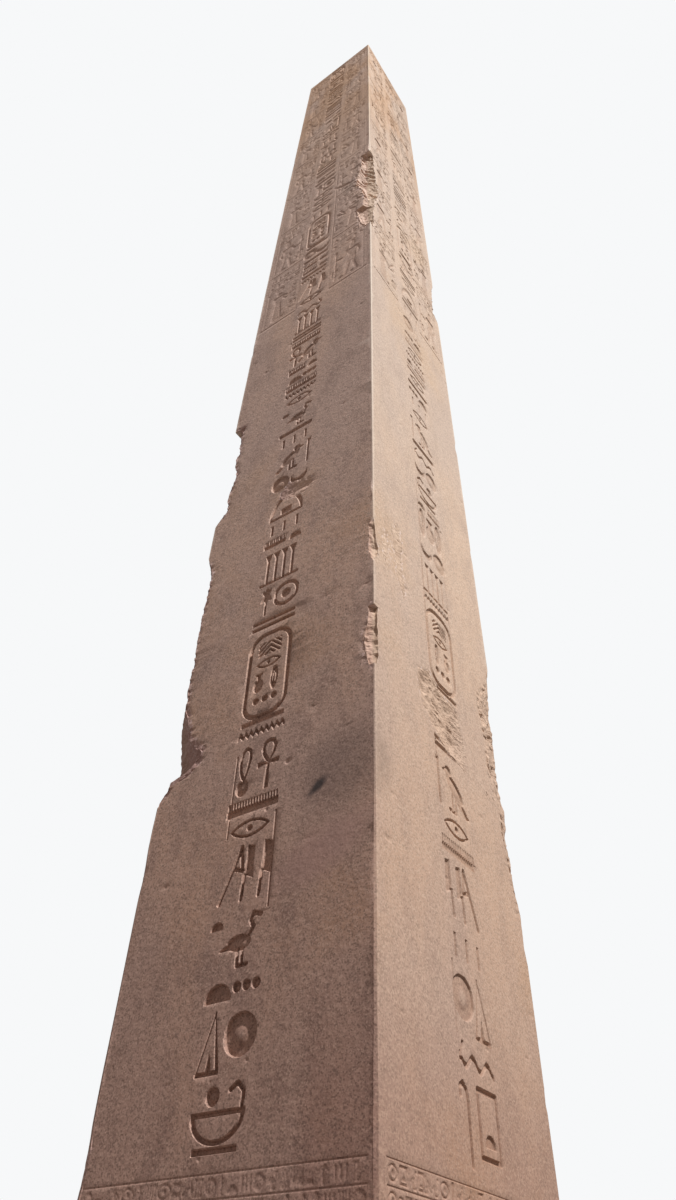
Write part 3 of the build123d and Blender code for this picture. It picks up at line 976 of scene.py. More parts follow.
def pits(across, up, seed):
    """Small round pits, one in some of the cells of a square mesh."""
    column = np.floor(across / PIT_CELL).astype(np.int64)
    row = np.floor(up / PIT_CELL).astype(np.int64) + np.zeros_like(column)
    size, place_x, place_z, chance = (lattice(column, row, 0 * row, seed + turn) for turn in (1, 2, 3, 4))
    radius = 0.010 + 0.026 * size ** 2
    middle_x = (column + 0.2 + 0.6 * place_x) * PIT_CELL
    middle_z = (row + 0.2 + 0.6 * place_z) * PIT_CELL
    inside = np.clip(1 - ((across - middle_x) ** 2 + (up - middle_z) ** 2) / radius ** 2, 0, 1)
    return inside * radius * 0.35 * (chance < PIT_CHANCE)


def arris_wear(arris, z):
    """The damage at each height: ragged reach along the front or back face and along the
    side face, the same two without their raggedness, hollow, and cover. There is a little
    rounding all the way, more at the foot, and the breaks go by straight runs between
    their stations."""
    seed = list(BREAKS).index(arris) * 10
    nick = np.maximum(noise(z * 3.1, 0.5, 0, seed) - 0.70, 0) * 0.12
    worn_foot = np.clip(1 - (z - LINE_Z) / FOOT_ROUNDING_RISE, 0, 1) ** 1.5
    rounding = ROUNDING + FOOT_ROUNDING * worn_foot + 0.006 * noise(z * 1.3, 0.5, 0, seed + 1)
    rounding = rounding + nick
    calm = [rounding, rounding * (0.8 + 0.4 * noise(z * 2.2, 0.5, 0, seed + 3))]
    ragged = [value + 0.003 * noise(z * 24, 0.5, 0, seed + 2) for value in calm]
    hollow = -0.29 * rounding
    cover = np.clip(nick * 20, 0, 1)
    metres = z - LINE_Z
    for stations in BREAKS[arris]:
        levels = np.array(stations, float)
        levels[:, 1:] /= 1000
        inside = (metres >= levels[0, 0]) & (metres <= levels[-1, 0])
        own_calm = []
        own_ragged = []
        for way in (0, 1):
            value = np.interp(metres, levels[:, 0], levels[:, 1 + way])
            size = np.clip(value / 0.05, 0, 1)
            broad = (0.12 * value + 0.02 * size) * (noise(z * 7, 0.5, 0, seed + 4 + way) - 0.5)
            fine = (0.10 * value + 0.012 * size) * (noise(z * 24, 0.5, 0, seed + 6 + way) - 0.5)
            own_calm.append((value + broad) * inside)
            own_ragged.append((value + broad + fine) * inside)
        larger = inside & (own_calm[0] + own_calm[1] > calm[0] + calm[1])
        hollow = np.where(larger, np.interp(metres, levels[:, 0], levels[:, 3]), hollow)
        cover = np.where(larger, np.clip((own_calm[0] + own_calm[1]) / 0.08, 0, 1), cover)
        calm = [np.where(larger, np.maximum(own_calm[way], LEAST_REACH), calm[way]) for way in (0, 1)]
        ragged = [np.where(larger, np.maximum(own_ragged[way], LEAST_REACH), ragged[way]) for way in (0, 1)]
    return ragged, calm, hollow, cover


def sharp_heights(low, high):
    """Heights that need a row of their own: the edges of level lines, the breaks' stations,
    and just either side of a sudden end."""
    extra = []
    lines = [(-number * FOOT_LINE_PITCH, FOOT_LINE_HALF) for number in range(FOOT_LINE_COUNT + 1)]
    lines += [(metres, REGISTER_LINE_HALF) for metres in REGISTER_LINES]
    for metres, half_width in lines:
        extra += [LINE_Z + metres + half_width * share for share in (-1, -0.4, 0.4, 1)]
    for runs in BREAKS.values():
        for stations in runs:
            extra += [LINE_Z + station[0] for station in stations]
            for metres, reach, _, _ in (stations[0], stations[-1]):
                if reach > 0:
                    extra += [LINE_Z + metres - 0.003, LINE_Z + metres + 0.003]
    return [z for z in extra if low < z < high]


def face_columns(z, reach_left, reach_right, band_step, margin_step):
    """Places across a face at each height: margin, carved band, margin, squeezed between
    the two arris breaks."""
    half = half_at(z)[:, None]
    inner = half * (PANEL_INNER_SHARE - 0.01)
    widest = float(half.max())
    band_count = max(4, int(round(2 * widest * PANEL_INNER_SHARE / band_step)))
    margin_count = max(4, int(round(widest * (1 - PANEL_INNER_SHARE) / margin_step)))
    margin = np.linspace(0, 1, margin_count, endpoint=False)[1:]
    left_end = half - reach_left[:, None]
    right_end = half - reach_right[:, None]
    left = -left_end + (left_end - inner) * np.concatenate([[0], margin])
    band = -inner + 2 * inner * np.linspace(0, 1, band_count)
    right = inner + (right_end - inner) * np.concatenate([margin, [1]])
    return np.concatenate([left, band, right], axis=1)


def face_strip(index, z, wear, widest, steps, settings):
    """A face's columns and their covers. A point is the face's plane less the depth cut
    there, and the stone crumbles along the rims of the breaks."""
    face = FACE_ORDER[index]
    normal, right_way = FACES[face]
    own = OWN_REACH[face]
    scale = 1.0 if face in SEEN_FACES else UNSEEN_STEP_SCALE
    band_step, margin_step = (step * scale for step in steps)
    sides = ((ARRIS_AFTER[FACE_ORDER[index - 1]], -1), (ARRIS_AFTER[face], 1))
    across = face_columns(z, *(wear[arris][0][own] for arris, _ in sides), band_step, margin_step)
    relief = Relief(face, across, z, max(band_step * WALL_STEPS, LEAST_WALL))
    carve(relief, settings)
    half = half_at(z)[:, None]
    up = z[:, None]
    rim = np.zeros(across.shape)
    for arris, side in sides:
        reach = widest[arris][own][:, None]
        gap = half - reach - side * across
        near = np.clip(1 - gap / (0.03 + 0.10 * reach), 0, 1) * np.clip(reach / 0.08 - 0.5, 0, 1)
        rim = np.maximum(rim, near * 0.75)
    cover = np.maximum(scar_face(relief, settings.break_roughness), rim)
    # Near an arris the stone is rubbed, and takes a painted highlight there
    rubbed = np.clip(1 - (half - np.abs(across)) / RUBBED_AND_LIT_WIDTH, 0, 1)
    uneven = UNEVEN * noise(across * 1.7, up * 1.7, 0, 60 + index)
    crumbled = CRUMB_DEPTH * rim * smooth_step(noise(across * 19, up * 24, 0, 64 + index), 0.45, 0.60)
    flat = relief.depth + pits(across, up, PIT_SEED + index) + uneven + crumbled
    body = normal * (half - flat)[..., None] + right_way * across[..., None]
    # How deep the stone is cut, which sets the painted shade in the cuts
    cut = np.clip(relief.depth / FULL_CUT, 0, 1)
    return body, cover, cut * (1 - cover), rubbed * (1 - cover)


def drum_points(z, steps, settings):
    """The drum's skin as a ring of columns at each height: each face between the halves of
    its two arrises. Also returns how broken, how deep cut and how rubbed the stone is at
    each point, the rubbing also placing a painted highlight along the arrises."""
    wear = {arris: arris_wear(arris, z) for arris in BREAKS}
    widest = {}
    for arris in BREAKS:
        beside = [arris_wear(arris, z + rise)[0] for rise in (-RIM_RISE, RIM_RISE)]
        widest[arris] = np.maximum.reduce([wear[arris][0]] + beside)
    strips = []
    for index, face in enumerate(FACE_ORDER):
        before, after = FACE_ORDER[index - 1], FACE_ORDER[(index + 1) % 4]
        strips += [arris_strip(wear[ARRIS_AFTER[before]], before, face, z, False, settings),
                   face_strip(index, z, wear, widest, steps, settings),
                   arris_strip(wear[ARRIS_AFTER[face]], face, after, z, True, settings)]
    ring, *covers = (np.concatenate(parts, axis=1) for parts in zip(*strips))
    ring[..., 2] = z[:, None]
    return ring, dict(zip(COVERS.values(), covers))


def broken_skin(flat, up, near, pitted):
    """Broken granite: lumps a hand wide, grit, crumbs near the rim, on a pitted arris steep
    hollows, and in the great break layers some 140 mm apart that slant down across it, each
    undercut along its foot."""
    lumps = noise(flat * 4.2, up * 4.6, 0, 81) - 0.5
    facets = np.abs(noise(flat * 11 + up * 4, up * 11 - flat * 5, 0, 85) - 0.5)
    level = (up - flat * 0.65) * LAYERS_PER_METRE + 1.4 * noise(flat * 5, up * 4, 0, 82)
    layer = level - np.floor(level)
    strength = smooth_step(noise(flat * 4, up * 5, 0, 84), 0.30, 0.55)
    layered = smooth_step(up, *LAYERS_Z)
    undercut = smooth_step(layer, 0.55, 0.92) * strength * layered
    grit = noise(flat * 24, up * 28, 0, 83) - 0.5
    hollows = pitted * smooth_step(noise(flat * 12 + up * 3, up * 7, 0, 86), 0.58, 0.68)
    return 0.7 * lumps + 0.6 * facets + 0.75 * undercut + (0.24 + 0.4 * near) * grit + hollows


def arris_strip(wear, first, second, z, on_first, settings):
    """Columns between a face and the middle of the arris after `first`, and their covers:
    points along the chord of the calm reach, moved inward by the hollow towards the middle
    and by the broken skin. The ragged reach fades in from the chord to the face by the cube
    of the share. The middle itself belongs to the second face."""
    ragged, calm, hollow, cover = wear
    half = half_at(z)
    arris = ARRIS_AFTER[first]
    own = OWN_REACH[first]
    normal_a, way_a = FACES[first]
    normal_b, way_b = FACES[second]
    end_a = normal_a * half[:, None] + way_a * (half - calm[own])[:, None]
    end_b = normal_b * half[:, None] - way_b * (half - calm[1 - own])[:, None]
    inward = -(normal_a + normal_b) / math.sqrt(2)
    deepest_at = np.where(z < BREAK_MIDDLE_Z, *BREAK_DEEPEST[arris])
    deepest_at = np.where(cover > 0.5, deepest_at if own == 0 else 1 - deepest_at, 0.5)[:, None]
    middle = end_a * (1 - deepest_at) + end_b * deepest_at + inward * (hollow * (1 + 0.15 * cover))[:, None]
    seen = first in SEEN_FACES or second in SEEN_FACES
    shares = np.linspace(0, 1, (ARRIS_STEPS if seen else UNSEEN_ARRIS_STEPS) + 1)[:-1]
    if on_first:
        shares = shares[1:]
        start, stop, near = end_a, middle, 1 - shares
        rim = -way_a * (ragged[own] - calm[own])[:, None]
    else:
        start, stop, near = middle, end_b, shares
        rim = way_b * (ragged[1 - own] - calm[1 - own])[:, None]
    ring = start[:, None] + (stop - start)[:, None] * shares[None, :, None]
    ring = ring + rim[:, None] * near[None, :, None] ** 3
    size = np.clip(np.maximum(*calm) / 0.09, 0, 1)[:, None] * cover[:, None]
    flat = ring @ (normal_a - normal_b)
    push = broken_skin(flat, z[:, None] + np.zeros_like(flat), near[None, :], arris == PITTED_ARRIS)
    push = push * settings.break_roughness
    fading = np.clip((1 - near) * 6.0, 0, 1)[None, :]
    ring = ring + inward * (push * size * fading)[..., None]
    broken = cover[:, None] + np.zeros(flat.shape)
    # Unbroken stone on the arris is rubbed, and takes a painted highlight
    return ring, broken, np.zeros(flat.shape), 1 - broken


def carve(relief, settings):
    """All that is carved on one face within this drum."""
    low, high = relief.up[0], relief.up[-1]
    if high > LINE_Z and low < HEAD_Z - 0.1:
        carve_column(relief, settings.sign_depth)
        carve_panels(relief, settings.panel_depth * PANEL_DEPTH_SHARE[relief.face])
    if low < LINE_Z + 0.05:
        carve_foot_lines(relief, settings.foot_depth * FOOT_DEPTH_SHARE[relief.face])
    if high > HEAD_Z + 0.05:
        carve_pyramidion(relief, settings.panel_depth)


def put(name, data):
    """An object in the scene."""
    item = bpy.data.objects.new(name, data)
    bpy.context.scene.collection.objects.link(item)
    return item


def mesh_piece(name, points, faces, attributes, material, node):
    """A finished piece: mesh at the origin, riding on the root and standing for its node."""
    mesh = bpy.data.meshes.new(name)
    mesh.from_pydata(points.reshape(-1, 3), [], faces)
    for label, values in attributes.items():
        layer = mesh.attributes.new(label, "FLOAT", "POINT")
        layer.data.foreach_set("value", values.astype(np.float32).ravel())
    mesh.materials.append(material)
    piece = put(name, mesh)
    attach(piece, "root")
    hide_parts(node)
    return piece


def ring_faces(rows, columns):
    """Quads of a closed ring of columns, then fans to a centre point at each end."""
    row, column = np.meshgrid(np.arange(rows - 1), np.arange(columns), indexing="ij")
    after = (column + 1) % columns
    quads = np.stack([row * columns + column, row * columns + after,
                      (row + 1) * columns + after, (row + 1) * columns + column], axis=-1).reshape(-1, 4)
    around = np.arange(columns)
    ahead = (around + 1) % columns
    foot = rows * columns
    head = foot + 1
    top = (rows - 1) * columns
    lower = np.stack([np.full(columns, foot), ahead, around], axis=-1)
    upper = np.stack([np.full(columns, head), top + around, top + ahead], axis=-1)
    return quads.tolist() + lower.tolist() + upper.tolist()


def simplify(piece, ratio):
    """Take out triangles where the stone is plain, so that the carving keeps them."""
    if ratio >= 1:
        return
    modifier = piece.modifiers.new("simplify", "DECIMATE")
    modifier.ratio = ratio
    evaluated = piece.evaluated_get(bpy.context.evaluated_depsgraph_get())
    lighter = bpy.data.meshes.new_from_object(evaluated)
    lighter.name = piece.name
    piece.modifiers.clear()
    old = piece.data
    piece.data = lighter
    bpy.data.meshes.remove(old)


def shade(piece, degrees):
    """Smooth shading with hard edges kept where the stone turns sharply."""
    mesh = piece.data
    mesh.polygons.foreach_set("use_smooth", np.ones(len(mesh.polygons), bool))
    mesh.set_sharp_from_angle(angle=math.radians(degrees))
    mesh.update()


def make_drum(drum, material, settings):
    """One drum of the monolith, closed at both ends."""
    name, low, high, row_step, *steps, kept = drum
    count = int(round((high - low) / row_step)) + 1
    z = FOOT_Z + np.linspace(low, high, count)
    z = np.unique(np.concatenate([z, sharp_heights(z[0], z[-1])]))
    ring, covers = drum_points(z, steps, settings)
    rows, columns = ring.shape[:2]
    ends = np.array([[0, 0, z[0]], [0, 0, z[-1]]])
    points = np.concatenate([ring.reshape(-1, 3), ends])
    attributes = {label: np.append(values.ravel(), [0, 0]) for label, values in covers.items()}
    piece = mesh_piece(name, points, ring_faces(rows, columns), attributes, material, "monolith")
    simplify(piece, kept)
    shade(piece, DRUM_SHARP_DEGREES)
    return piece


# Dressed blocks: the sides of their squares, where their noise starts, and how far on from
# block to block
PEDESTAL_STEP = 0.065
COURSE_STEP = 0.055
PEDESTAL_SEED = 100
COURSE_SEED = 200
COURSE_SEED_STEP = 5

# The turning groove in the pedestal's top: how far its upright side stands under the
# shaft's back edge, its depth, the width of its flat floor, and where its slope ends
GROOVE_UNDER = 0.11
GROOVE_DEPTH = 0.13
GROOVE_FLAT = 0.15
GROOVE_END = 0.30


def block_surface(low, high, step):
    """The skin of a box as six grids of points with shared edges merged, and its quads."""
    counts = [max(3, int(round((b - a) / step)) + 1) for a, b in zip(low, high)]
    lines = [np.linspace(a, b, n) for a, b, n in zip(low, high, counts)]
    keys = []
    quads = []
    start = 0
    for axis in range(3):
        first, second = (axis + 1) % 3, (axis + 2) % 3
        for side in (0, 1):
            i, j = np.meshgrid(np.arange(counts[first]), np.arange(counts[second]), indexing="ij")
            key = np.zeros(i.shape + (3,), np.int64)
            key[..., axis] = (counts[axis] - 1) * side
            key[..., first] = i
            key[..., second] = j
            keys.append(key.reshape(-1, 3))
            place = start + np.arange(i.size).reshape(i.shape)
            ring = [place[:-1, :-1], place[1:, :-1], place[1:, 1:], place[:-1, 1:]]
            if side == 0:
                ring = ring[::-1]
            quads.append(np.stack(ring, axis=-1).reshape(-1, 4))
            start += i.size
    merged, back = np.unique(np.concatenate(keys), axis=0, return_inverse=True)
    points = np.stack([lines[axis][merged[:, axis]] for axis in range(3)], axis=-1)
    return points, back.ravel()[np.concatenate(quads)]


def dress(points, low, high, radius, wave, seed):
    """Round the edges by a radius and wear the faces: each point is drawn in towards the box
    that is smaller by the radius, further in where the noise is high."""
    low = np.array(low)
    high = np.array(high)
    inner = np.clip(points, low + radius, high - radius)
    away = points - inner
    length = np.linalg.norm(away, axis=1, keepdims=True)
    x, y, z = points.T
    broad = noise(x * 2.3, y * 2.3, z * 2.3, seed)
    fine = noise(x * 11, y * 11, z * 11, seed + 1)
    corner = (np.abs(away) > radius * 0.5).sum(axis=1) > 1
    chip = np.maximum(noise(x * 5, y * 5, z * 5, seed + 2) - 0.62, 0) * 3 * corner
    reach = radius - wave * (0.7 * broad + 0.3 * fine) - radius * 0.9 * np.clip(chip, 0, 1)
    return inner + away / np.maximum(length, 1e-9) * reach[:, None], np.clip(chip * 2, 0, 1)


def make_block(node, step, radius, wave, seed, material, warp=None):
    """A dressed block in the box of its node."""
    low, high = (list(corner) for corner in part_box(node))
    points, quads = block_surface(low, high, step)
    points, chipped = dress(points, low, high, radius, wave, seed)
    if warp is not None:
        points = warp(points, low, high)
    none = np.zeros(len(points))
    attributes = dict(zip(COVERS.values(), (chipped, none, none)))
    piece = mesh_piece(node + "_dressed", points, quads.tolist(), attributes, material, node)
    shade(piece, BLOCK_SHARP_DEGREES)
    return piece


def turning_groove(points, low, high):
    """Lower the top third of the pedestal along a level run behind the shaft: upright towards
    the shaft, sloping on the far side."""
    inner = FOOT_HALF - GROOVE_UNDER
    y = points[:, 1]
    slope = np.clip((inner + GROOVE_END - y) / (GROOVE_END - GROOVE_FLAT), 0, 1)
    drop = np.where(y < inner, 0, slope) * GROOVE_DEPTH
    share = (points[:, 2] - low[2]) / (high[2] - low[2])
    lowered = points.copy()
    lowered[:, 2] -= drop * np.clip(share * 3 - 2, 0, 1)
    return lowered


# Materials

# Colours of the stones; `colour` is the one that the rest is laid over. `cut` is painted shade for the carved
# hollows.
GRANITE = {
    "colour": "#D8BCA4", "ash": "#CDB6A5", "dusk": "#B19A8B", "tan": "#D2B498", "feldspar": "#E8D3BE",
    "mica": "#87786B", "soot": "#D0BEB7", "bleach": "#2E2824", "inside": "#E6CCB4", "inside_dark": "#C0A48C",
    "cut": "#EFE9E5", "stain": "#4E4744", "pale_arris": "#F2E4D2", "gold": "#F6E0C4",
    "old_break": "#B79C92", "flake": "#EAD6CA", "pocket": "#7A6452", "front_head": "#8E7A62",
    "front_dust": "#FFF7FC", "right_foot": "#EFE9E8", "right_head": "#EEECEA", "cloud": "#746861",
    "wiped": "#C8ACA0",
}
# The pedestal takes less of the foot's soot and painted shade
PEDESTAL_GRANITE = dict(GRANITE, soot="#E4DAD6")
SANDSTONE = {"colour": "#CDB08A", "sand_dark": "#B4946E", "sand_light": "#DCC6A4", "damp": "#B5A795"}

SMOOTH = {"interpolation_type": "SMOOTHSTEP"}
BLENDS = {"blend": "MIX", "tint": "MULTIPLY", "lift": "SCREEN"}
MILLIMETRE = 0.001

# Recipes of the finishes. A row is a name, how its value is made, and from what; `follow`
# says what each way does. Sizes of patterns and depths of reliefs are in millimetres.
GRANITE_GROUND = [
    # The front face, which stays in shade and holds more dirt, and the right face
    ("width", "ABSOLUTE", "x"),
    ("ahead", "ADD", "y", "width"),
    ("front", "step", "ahead", 0.02, -0.04),
    ("right", "step", "x", 0.6, 0.8),
    ("dirt", "span", "front", 0.0, 1.0, 0.45, 1.0),
    # Clouds more than a metre across that lean as the bed of the quarry did, blotches in
    # them, and broad rusty stretches
    ("leaned", "turned", "place", (0.5, 0.6, 0.2), (1.0, 1.0, 0.45)),
    ("clouds", "noise", "leaned", 1333, 4.0, 0.55),
    ("blotches", "noise", "leaned", 294, 6.0, 0.66),
    ("rust", "noise", "place", 1818, 4.0, 0.55),
    ("colour", "blend", "ash", "clouds", 0.36, 0.64),
    ("colour", "blend", "dusk", "blotches", 0.44, 0.72, "dirt"),
    ("colour", "blend", "tan", "rust", 0.52, 0.72),
    # Mottling a hand wide, where grains gather
    ("mottle", "noise", "place", 90, 5.0, 0.76),
    ("colour", "blend", "mica", "mottle", 0.50, 0.68, "dirt", 0.38),
    # Grains of feldspar 14 mm across and flecks of mica 12 mm across, half as large again as
    # on the stone, so that they still show from the ground
    ("grain", "cells", "place", 14),
    ("colour", "blend", "feldspar", "grain_red", 0.4, 1.0, 0.6),
    ("fleck", "cells", "place", 12),
    ("strength", "span", "front", 0.0, 1.0, 0.35, 0.58),
    ("colour", "blend", "mica", "fleck_green", 0.70, 0.88, "strength"),
]
GRANITE_OVER = [
    # Broken stone, ragged at its rim: fresh and tan on the right, darker on the left with painted shade, as
    # that side is turned from the key;
    # fainter at the back
    ("lumps", "noise", "place", 143, 6.0, 0.7),
    ("crumbs", "noise", "place", 45, 3.0, 0.6),
    ("inside", "blend", "inside_dark", "lumps", 0.35, 0.68),
    ("inside", "blend", "old_break", "x", 0.2, -0.2),
    ("behind", "step", "y", 0.0, 0.4),
    ("ragged", "MULTIPLY_ADD", "crumbs", 1.3, "broken"),
    ("strength", "span", "behind", 0.0, 1.0, 0.8, 0.4),
    ("colour", "blend", "inside", "ragged", 1.05, 1.25, "strength"),
    # Crumbs along the rim: pale ones, and at the back fewer and dark
    ("rising", "step", "broken", 0.10, 0.40),
    ("falling", "step", "broken", 0.99, 0.70),
    ("fewer", "MULTIPLY_ADD", "behind", -0.08, "crumbs"),
    ("flake", "blend", "pocket", "y", 0.0, 0.4),
    ("colour", "blend", "flake", "fewer", 0.52, 0.60, "rising", "falling"),
    # Painted shade that darkens the cuts, and rubbed arrises that also carry a painted highlight, paler
    # towards the head
    ("colour", "tint", "cut", "carved", 0.2, 1.0),
    ("strength", "span", "height", LINE_Z + 2, LINE_Z + 10, 0.0, 0.75),
    ("colour", "blend", "pale_arris", "rubbed", 0.2, 0.9, "strength"),
    # Golden patches near the head, fainter on the far faces and on the pyramidion
    ("high", "step", "height", HEAD_Z - 8, HEAD_Z - 2),
    ("near", "MAXIMUM", "front", "right"),
    ("strength", "span", "near", 0.0, 1.0, 0.45, 1.0),
    ("fainter", "span", "height", HEAD_Z - 1, HEAD_Z + 1, 1.0, 0.35),
    ("colour", "tint", "gold", "clouds", 0.36, 0.52, "high", "strength", "fainter"),
    # Darker and greyer at the foot, paler to the head: soot and bleaching, with painted shade low down and
    # painted light high up
    ("strength", "span", "front", 0.0, 1.0, 0.92, 0.84),
    ("colour", "tint", "soot", "height", HEAD_Z * 0.48, FOOT_Z, "strength"),
    ("colour", "lift", "bleach", "height", HEAD_Z * 0.40, HEAD_Z),
    # Painted light on the shaded front: paler near its head, against the shade of the carving there, and a
    # little pinker all the way, as from warm light thrown back into the shade
    ("colour", "lift", "front_head", "height", HEAD_Z - 15, HEAD_Z - 2, "front"),
    ("colour", "tint", "front_dust", "ahead", 0.02, -0.04),
    # The right face is darker at its foot, from dirt and painted shade, and towards the back near the head,
    # from painted shade of the dense carving there
    ("colour", "tint", "right_foot", "height", LINE_Z + 1.3, LINE_Z + 0.1, "right"),
    ("colour", "tint", "right_head", "y", -0.4, 0.8, "high", "right"),
    # Ripples 71 mm long and 24 mm high on broken stone, hammer marks some 60 mm across, and
    # grains that stand about 1 mm proud
    ("rippled", "turned", "place", (0.3, 0.3, 0.0), (1.0, 1.0, 3.0)),
    ("ripples", "noise", "rippled", 71, 3.0, 0.6),
    ("deep", "step", "broken", 0.7, 1.0),
    ("ripples", "MULTIPLY", "ripples", "deep"),
    ("normal", "relief", "ripples", 0.9, 18),
    ("hammered", "noise", "place", 60, 6.0, 0.66),
    ("normal", "relief", "hammered", 0.8, 8),
    ("normal", "relief", "grain", 0.3, 1.2),
    ("polish", "span", "grain_red", 0.0, 1.0, 0.70, 0.88),
]
SANDSTONE_FINISH = [
    # Beds some 70 mm thick, then sand drawn several times as coarse as it is, so that it shows
    ("beds", "turned", "place", (0.0, 0.0, 0.0), (0.6, 0.6, 9.0)),
    ("bed_tone", "noise", "beds", 625, 5.0, 0.6),
    ("colour", "blend", "sand_dark", "bed_tone", 0.35, 0.68),
    ("grit", "noise", "place", 12, 3.0, 0.7),
    ("colour", "blend", "sand_light", "grit", 0.55, 0.75),
    # Damp towards the ground
    ("colour", "tint", "damp", "height", FOOT_Z * 0.16, 0.0),
    # Pecks of the point 35 mm apart
    ("pecks", "cells", "place", 35),
    ("normal", "relief", "pecks", 0.5, 5),
    ("normal", "relief", "grit", 0.45, 1.5),
]


def add(tree, kind, settings=None, **inputs):
    """Add a node: settings are its own values, inputs are values or sockets to link. An input
    goes by its name, with _ for a space, or by its number after an i."""
    node = tree.nodes.new(kind)
    for key, value in (settings or {}).items():
        setattr(node, key, value)
    for key, value in inputs.items():
        numbered = key[0] == "i" and key[1:].isdigit()
        socket = node.inputs[int(key[1:]) if numbered else key.replace("_", " ")]
        if isinstance(value, bpy.types.NodeSocket):
            tree.links.new(value, socket)
        else:
            socket.default_value = value
    return node


def follow(tree, values, recipe):
    """Add the nodes of a recipe and keep each result under its name. A text after the way is
    an earlier value. The ways are
    turned: a place, turned and stretched; noise: a cloudy pattern on a place, of a size, with
    its detail and roughness; cells: grains on a place, of a size, each with a red and a green
    tone of its own; step: a smooth rise of a value from 0 at one limit to 1 at the other;
    span: a straight one from one value to another; blend, tint and lift: a colour so far is
    mixed, multiplied or screened with another, by a step of a value, times any factors;
    relief: a height's bump, of a strength and depth, over the bump so far; and in capitals, a
    sum of plain arithmetic."""
    for name, way, *parts in recipe:
        parts = [values[part] if isinstance(part, str) else part for part in parts]
        if way == "turned":
            node = add(tree, "ShaderNodeMapping", Vector=parts[0], Rotation=parts[1], Scale=parts[2])
        elif way == "noise":
            node = add(tree, "ShaderNodeTexNoise", Vector=parts[0], Scale=1 / (parts[1] * MILLIMETRE),
                       Detail=parts[2], Roughness=parts[3])
        elif way == "cells":
            node = add(tree, "ShaderNodeTexVoronoi", Vector=parts[0], Scale=1 / (parts[1] * MILLIMETRE))
            tones = add(tree, "ShaderNodeSeparateColor", Color=node.outputs["Color"])
            values[name + "_red"], values[name + "_green"] = tones.outputs[:2]
        elif way == "step":
            node = add(tree, "ShaderNodeMapRange", SMOOTH, Value=parts[0], From_Min=parts[1],
                       From_Max=parts[2])
        elif way == "span":
            node = add(tree, "ShaderNodeMapRange", Value=parts[0], From_Min=parts[1], From_Max=parts[2],
                       To_Min=parts[3], To_Max=parts[4])
        elif way == "relief":
            under = {"Normal": values[name]} if name in values else {}
            node = add(tree, "ShaderNodeBump", Height=parts[0], Strength=parts[1],
                       Distance=parts[2] * MILLIMETRE, **under)
        elif way in BLENDS:
            tone, value, low, high, *factors = parts
            share = add(tree, "ShaderNodeMapRange", SMOOTH, Value=value, From_Min=low, From_Max=high)
            for factor in factors:
                share = add(tree, "ShaderNodeMath", {"operation": "MULTIPLY"}, i0=share.outputs[0], i1=factor)
            node = add(tree, "ShaderNodeMix", {"data_type": "RGBA", "blend_type": BLENDS[way]},
                       i0=share.outputs[0], i6=values[name], i7=tone)
        else:
            inputs = {f"i{number}": part for number, part in enumerate(parts)}
            node = add(tree, "ShaderNodeMath", {"operation": way}, **inputs)
        values[name] = node.outputs[2 if way in BLENDS else 0]


def new_material(name, colours):
    """A material with an empty tree, and the linear colours that its recipe starts from."""
    material = bpy.data.materials.new(name)
    material.use_nodes = True
    material.node_tree.nodes.clear()
    return material, material.node_tree, {tone: linear(colour) for tone, colour in colours.items()}


def new_stone(name, colours, main_colour):
    """A material that also reads the place on the object, and takes its main colour from the
    settings."""
    material, tree, values = new_material(name, colours)
    values["colour"] = tuple(main_colour)
    values["place"] = add(tree, "ShaderNodeTexCoord").outputs["Object"]
    parts = add(tree, "ShaderNodeSeparateXYZ", Vector=values["place"]).outputs
    values["x"], values["y"], values["height"] = parts
    return material, tree, values


def lay_patch(tree, values, centre, half, lean, tone, strength):
    """A patch on the front face: an oval with a ragged soft rim."""
    off = add(tree, "ShaderNodeVectorMath", {"operation": "SUBTRACT"}, i0=values["place"], i1=centre)
    turned = add(tree, "ShaderNodeMapping", Vector=off.outputs[0], Rotation=(0, math.radians(lean), 0))
    squeezed = add(tree, "ShaderNodeVectorMath", {"operation": "DIVIDE"}, i0=turned.outputs[0],
                   i1=(half[0], PATCH_DEPTH, half[1]))
    reach = add(tree, "ShaderNodeVectorMath", {"operation": "LENGTH"}, i0=squeezed.outputs[0])
    values["reach"] = reach.outputs["Value"]
    follow(tree, values, [("spread", "MULTIPLY_ADD", "blotches", 1.6, "reach"),
                          ("colour", "blend", tone, "spread", 2.1, 1.2, strength)])


def close_finish(tree, values, **settings):
    """The shader at the end of a finish."""
    shader = add(tree, "ShaderNodeBsdfPrincipled", Base_Color=values["colour"], IOR=1.5, **settings)
    add(tree, "ShaderNodeOutputMaterial", Surface=shader.outputs[0])


def rose_granite(name, colours, main_colour):
    """Rose granite, hammer dressed and rubbed, then weathered: grains of pink feldspar, grey
    quartz and black mica give a fine speckle, broad leaning clouds the mottling, dust and soot with painted
    shade the darker foot, and broken stone shows a little paler and rougher. Painted shade and light are also
    laid on the cuts, the arrises, the front, the right face and the breaks on the left."""
    material, tree, values = new_stone(name, colours, main_colour)
    for label, attribute in COVERS.items():
        values[label] = add(tree, "ShaderNodeAttribute", {"attribute_name": attribute}).outputs["Fac"]
    follow(tree, values, GRANITE_GROUND)
    for patch in PATCHES:
        lay_patch(tree, values, *patch)
    follow(tree, values, GRANITE_OVER)
    close_finish(tree, values, Normal=values["normal"], Roughness=values["polish"], Specular_IOR_Level=0.3)
    return material


def tooled_sandstone(name, colours, main_colour):
    """Sandstone blocks, picked flat with a pointed tool: even sandy grain, faint beds, and
    darker damp towards the ground."""
    material, tree, values = new_stone(name, colours, main_colour)
    follow(tree, values, SANDSTONE_FINISH)
    close_finish(tree, values, Normal=values["normal"], Roughness=0.92, Specular_IOR_Level=0.25)
    return material


# Settings, operators and panel

